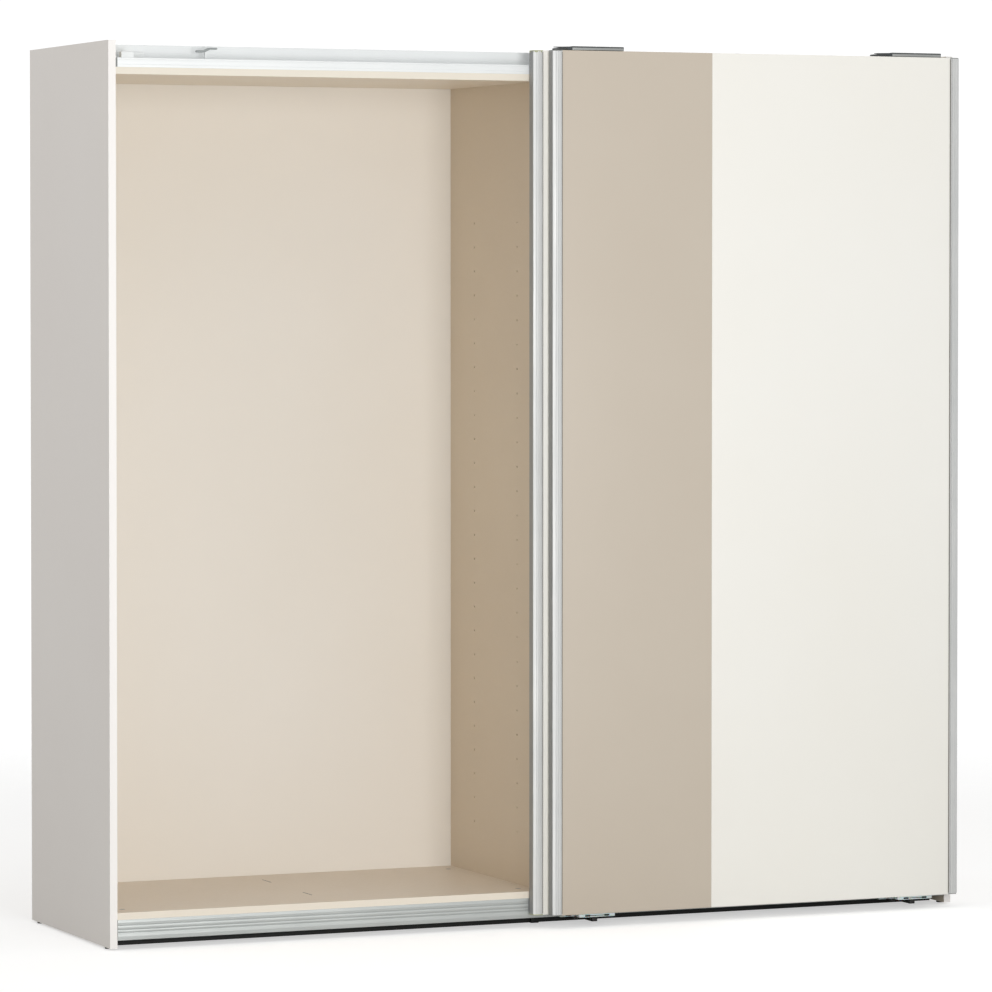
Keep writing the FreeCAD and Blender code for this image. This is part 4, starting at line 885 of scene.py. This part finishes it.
def wheels(door):
    """Grooved wheels. The dished side between hub and rim rises to the full width on six ribs:
    at angle a the dish is 1.5 mm deep where cos 6a is low, and nearly none where it is high."""
    angle = np.linspace(0, 2 * np.pi, 96, endpoint=False)[None]
    rib = np.clip((np.cos(6 * angle) - 0.72) / 0.2, 0, 1)
    half = [(3.2, 5, 0), (5.7, 5, 0), (6, 4.7, 0), (6.2, 3.5, 1.4), (8.5, 3.5, 1.4),
            (10.8, 3.5, 1.4), (11, 4.6, 0), (11.4, 5, 0), (15.0, 5, 0), (15.5, 4.6, 0),
            (15.5, 3.1, 0), (15.1, 2.8, 0), (13.3, 2.3, 0), (13.02, 2.1, 0)]
    profile = half + [(r, -h, -d) for r, h, d in reversed(half)]
    radius, height, dish = (column[:, None] * MM for column in np.array(profile).T)
    for number in (1, 2, 3, 4):
        node = f"{door}_wheel_{number}"
        low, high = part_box(node)
        middle = (np.array(low) + np.array(high)) / 2
        local = np.stack([radius * np.cos(angle), radius * np.sin(angle),
                          height + dish * rib], axis=-1)
        piece(f"{node}_tyre", [skin(upright("y", local) + middle, loop=True)], NYLON, node,
              [node], math.radians(40))


def guides(door):
    """Bottom guides: a block under the panel with a tab behind it, a slim arm and a fin in its
    channel, and in front two round-ended slots with a dark line between them. The slots are
    dark sheets on the face, painted shade for the shade in the holes, and the arm is black as
    painted shade, so that it sinks into the shade under the door."""
    node = f"{door}_bottom_guides"
    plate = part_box(f"{door}_left_stile")[0][1] + 18 * MM
    leg = plate + 3 * MM
    block_low, block_high, slot_height = 0.0242, 0.0318, 0.028
    leg_top, fin_top = 0.0255, 0.036
    arm_half, arm_thickness = 7 * MM, 2.4 * MM
    arm_lift = (3.6 if door == "right_door" else 0.3) * MM
    shapes, dark, shade_black_arms = [], [], []
    for low, high in solids_of(node):
        face = low[1] + 0.5 * MM
        block = np.array([(face, block_low), (leg, block_low), (leg, high[2]),
                          (plate + 0.1 * MM, high[2]), (plate + 0.1 * MM, block_high),
                          (face, block_high)])
        radii = np.array([1.5, 1.0, 1.0, 0.6, 0.3, 1.2]) * MM
        shapes.append(bar(rounded(block, radii, 5), low[0], high[0], "x", 1.5 * MM))
        track = high[1] - 1.5 * MM
        under = low[2] + arm_lift
        over = under + arm_thickness
        arm = np.array([(leg - 4 * MM, under), (track + 1.5 * MM, under),
                        (track + 1.5 * MM, fin_top), (track - 1.5 * MM, fin_top),
                        (track - 1.5 * MM, over), (leg, over), (leg, leg_top),
                        (leg - 4 * MM, leg_top)])
        radii = np.array([1, 1, 1.2, 1.2, 1, 1, 0.2, 0.2]) * MM
        middle = (low[0] + high[0]) / 2
        # Painted shade: the arm is black so that it sinks into the shade under the door.
        shade_black_arms.append(bar(rounded(arm, radii, 5), middle - arm_half, middle + arm_half, "x",
                        0.6 * MM))
        # Painted shade: dark round slots on the face stand for the shade inside the holes.
        for x in (low[0] + 22 * MM, high[0] - 22 * MM):
            for group, half, rise, proud in ((shapes, 9, 3.5, 0.35), (dark, 7, 2.3, 0.5)):
                stadium = np.array([(-half, -rise), (half, -rise), (half, rise), (-half, rise)])
                outline = rounded(stadium * MM + (x, slot_height), rise * MM, 7)
                group.append(bar(outline, face - proud * MM, face + 1 * MM, "y"))
        start, end = low[0] + 24 * MM, high[0] - 24 * MM
        under, over = slot_height - 0.8 * MM, slot_height + 0.8 * MM
        strip = np.array([(start, under), (end, under), (end, over), (start, over)])
        dark.append(bar(strip, face - 0.4 * MM, face + 1 * MM, "y"))
    piece(f"{door}_guide_blocks", shapes, GUIDE_PALE, door, [node])
    piece(f"{door}_guide_socket_shade", dark, SOCKET_SHADE_DARK, door)
    piece(f"{door}_guide_arms_shade_black", shade_black_arms, FOOT_BLACK_AND_ARM_SHADE, door)


def brush(door):
    """A backing strip and three rows of tufts. Each tuft is a four-sided spike whose tip leans
    a little, by a fixed wave of its own number."""
    node = f"{door}_dust_brush"
    low, high = (np.array(corner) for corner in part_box(node))
    strip = slab(low, (high[0], low[1] + 1.2 * MM, high[2] - 2 * MM), 0.3 * MM)
    count = 560
    number = np.arange(count * 3)
    row, along = number % 3, number // 3
    x = low[0] + (1.0 + 1.5 * row) * MM
    z = low[2] + 1.2 * MM + (high[2] - low[2] - 2.4 * MM) * (along + row / 3) / count
    base = np.array([(-0.5, -1.2), (0.5, -1.2), (0.5, 1.2), (-0.5, 1.2)]) * MM
    lean_x, lean_z = 0.3 * MM * np.sin(number * 2.4), 0.9 * MM * np.sin(number * 1.7 + 1)
    ring = np.zeros((len(number), 2, 4, 3))
    ring[:, :, :, 0] = x[:, None, None] + base[None, None, :, 0]
    ring[:, :, :, 2] = z[:, None, None] + base[None, None, :, 1]
    ring[:, 0, :, 1] = low[1] + 0.9 * MM
    ring[:, 1, :, 1] = high[1] - 0.15 * MM * (1 + np.sin(number * 3.1))[:, None]
    ring[:, 1, :, 0] += lean_x[:, None] - base[None, :, 0] * 0.5
    ring[:, 1, :, 2] += lean_z[:, None] - base[None, :, 1] * 0.5
    ring[:, :, :, 2] = np.clip(ring[:, :, :, 2], low[2], high[2])
    points = ring.reshape(-1, 3)
    start = (number * 8)[:, None, None]
    tuft = np.array([(0, 1, 5, 4), (1, 2, 6, 5), (2, 3, 7, 6), (3, 0, 4, 7), (4, 5, 6, 7),
                     (3, 2, 1, 0)])
    faces = (start + tuft[None]).reshape(-1, 4)
    one = volume_of(points[:8], [tuft])
    tufts = (points, [faces if one > 0 else faces[:, ::-1]])
    piece(f"{door}_brush_pile", [strip, tufts], PILE, door, [node])


for door in DOORS:
    door_panels(door)
    stiles(door)
    joint_bar(door)
    carriers(door)
    wheels(door)
    guides(door)
    brush(door)
    screws(f"{door}_screws", door, "y", 1)
    paint(f"{door}_wheel_axles", STEEL)

# --- floor, light and camera ---------------------------------------------------------------------


def pale_floor():
    """A wide flat disc: rings of points from the middle outwards. Its alpha falls from 1 to 0
    between FLOOR_FADE's two distances, so it has no far edge, and it glows a little to the eye
    alone, so only the shade under and beside the wardrobe shows on it."""
    angle = np.linspace(0, 2 * np.pi, 72, endpoint=False)
    reach = np.array([0.5, 2, 4, 7])[:, None]
    grid = np.stack([reach * np.cos(angle), reach * np.sin(angle), np.full((4, 72), -0.0004)],
                    axis=-1)
    mesh = bpy.data.meshes.new("floor")
    faces = grid_faces(4, 72, False).tolist() + [list(range(72))]
    mesh.from_pydata(grid.reshape(-1, 3), [], faces)
    floor = bpy.data.objects.new("floor", mesh)
    bpy.context.scene.collection.objects.link(floor)
    finish = Finish("pale_floor", fineness=60.0, drift=0.5)
    tree = finish.tree
    colour = finish.drifting(FLOOR_PALE, FLOOR_PALE_SHADE)
    finish.set(Specular_IOR_Level=0.15)
    place = put(tree, "ShaderNodeTexCoord").outputs["Object"]
    away = put(tree, "ShaderNodeVectorMath", {0: place}, operation="LENGTH").outputs["Value"]
    fade = put(tree, "ShaderNodeMapRange", {"Value": away, "From Min": FLOOR_FADE[0],
                                            "From Max": FLOOR_FADE[1],
                                            "To Min": 1.0, "To Max": 0.0},
               interpolation_type="SMOOTHSTEP")
    tree.links.new(fade.outputs["Result"], finish.shader.inputs["Alpha"])
    seen = put(tree, "ShaderNodeLightPath").outputs["Is Camera Ray"]
    glow = reckon(tree, "MULTIPLY", seen, FLOOR_GLOW)
    tree.links.new(glow, finish.shader.inputs["Emission Color"])
    finish.set(Emission_Strength=1.0)
    mesh.materials.append(finish.done(colour, 0.8, 0.03, 0.0001))
    floor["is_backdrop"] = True


def studio_world():
    """White behind the object; as light, a soft shell that is brighter towards both sides, by
    the square of the way's X."""
    world = bpy.data.worlds.new("studio")
    world.use_nodes = True
    bpy.context.scene.world = world
    tree = world.node_tree
    backdrop = tree.nodes["Background"]
    backdrop.inputs["Color"].default_value = (1, 1, 1, 1)
    way = put(tree, "ShaderNodeTexCoord").outputs["Generated"]
    aside = put(tree, "ShaderNodeSeparateXYZ", {0: way}).outputs[0]
    soft = put(tree, "ShaderNodeMapRange", {"Value": reckon(tree, "MULTIPLY", aside, aside),
                                            "To Min": SHELL_FRONT, "To Max": SHELL_SIDE})
    seen = put(tree, "ShaderNodeLightPath").outputs["Is Camera Ray"]
    strength = put(tree, "ShaderNodeMix", {"Factor": seen, "A": soft.outputs["Result"],
                                           "B": BACKDROP}, data_type="FLOAT").outputs["Result"]
    tree.links.new(strength, backdrop.inputs["Strength"])


def lamp(name, place, target, width, height, power):
    """A soft box that looks at the target."""
    data = bpy.data.lights.new(name, "AREA")
    data.shape, data.size, data.size_y, data.energy = "RECTANGLE", width, height, power
    data.color = (1.0, 0.99, 0.975)
    made = bpy.data.objects.new(name, data)
    bpy.context.scene.collection.objects.link(made)
    made.location = place
    way = np.array(target, float) - np.array(place, float)
    made.rotation_euler = (math.atan2(math.hypot(way[0], way[1]), -way[2]), 0,
                           math.atan2(way[1], way[0]) - math.pi / 2)


SHELL_FRONT, SHELL_SIDE, BACKDROP = 0.37, 1.06, 1.05
FLOOR_GLOW, FLOOR_FADE = 0.52, (2.4, 6.0)
FLOOR_PALE, FLOOR_PALE_SHADE = tint(221, 221, 220), tint(218, 218, 217)
pale_floor()
studio_world()
lamp("front_box", (-0.7, -6.8, 1.35), (-0.2, 0, 1.1), 2.2, 2.9, 196)
lamp("top_box", (0.2, -1.4, 4.6), (0, 0, 1.0), 4.5, 3.5, 22)

VIEW_PLACE, VIEW_DOWN, VIEW_TURN = (-4.8485, -11.1623, 1.5477), 1.565, -23.402
camera = bpy.data.cameras.new("view")
camera.sensor_width, camera.lens, camera.shift_y = 36.0, 181.31, -0.080
camera.clip_start, camera.clip_end = 0.5, 200.0
seat = bpy.data.objects.new("view", camera)
bpy.context.scene.collection.objects.link(seat)
seat.location = VIEW_PLACE
seat.rotation_euler = (math.radians(90 - VIEW_DOWN), 0, math.radians(VIEW_TURN))
bpy.context.scene.camera = seat
bpy.context.scene.view_settings.view_transform = "Standard"

low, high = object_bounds()
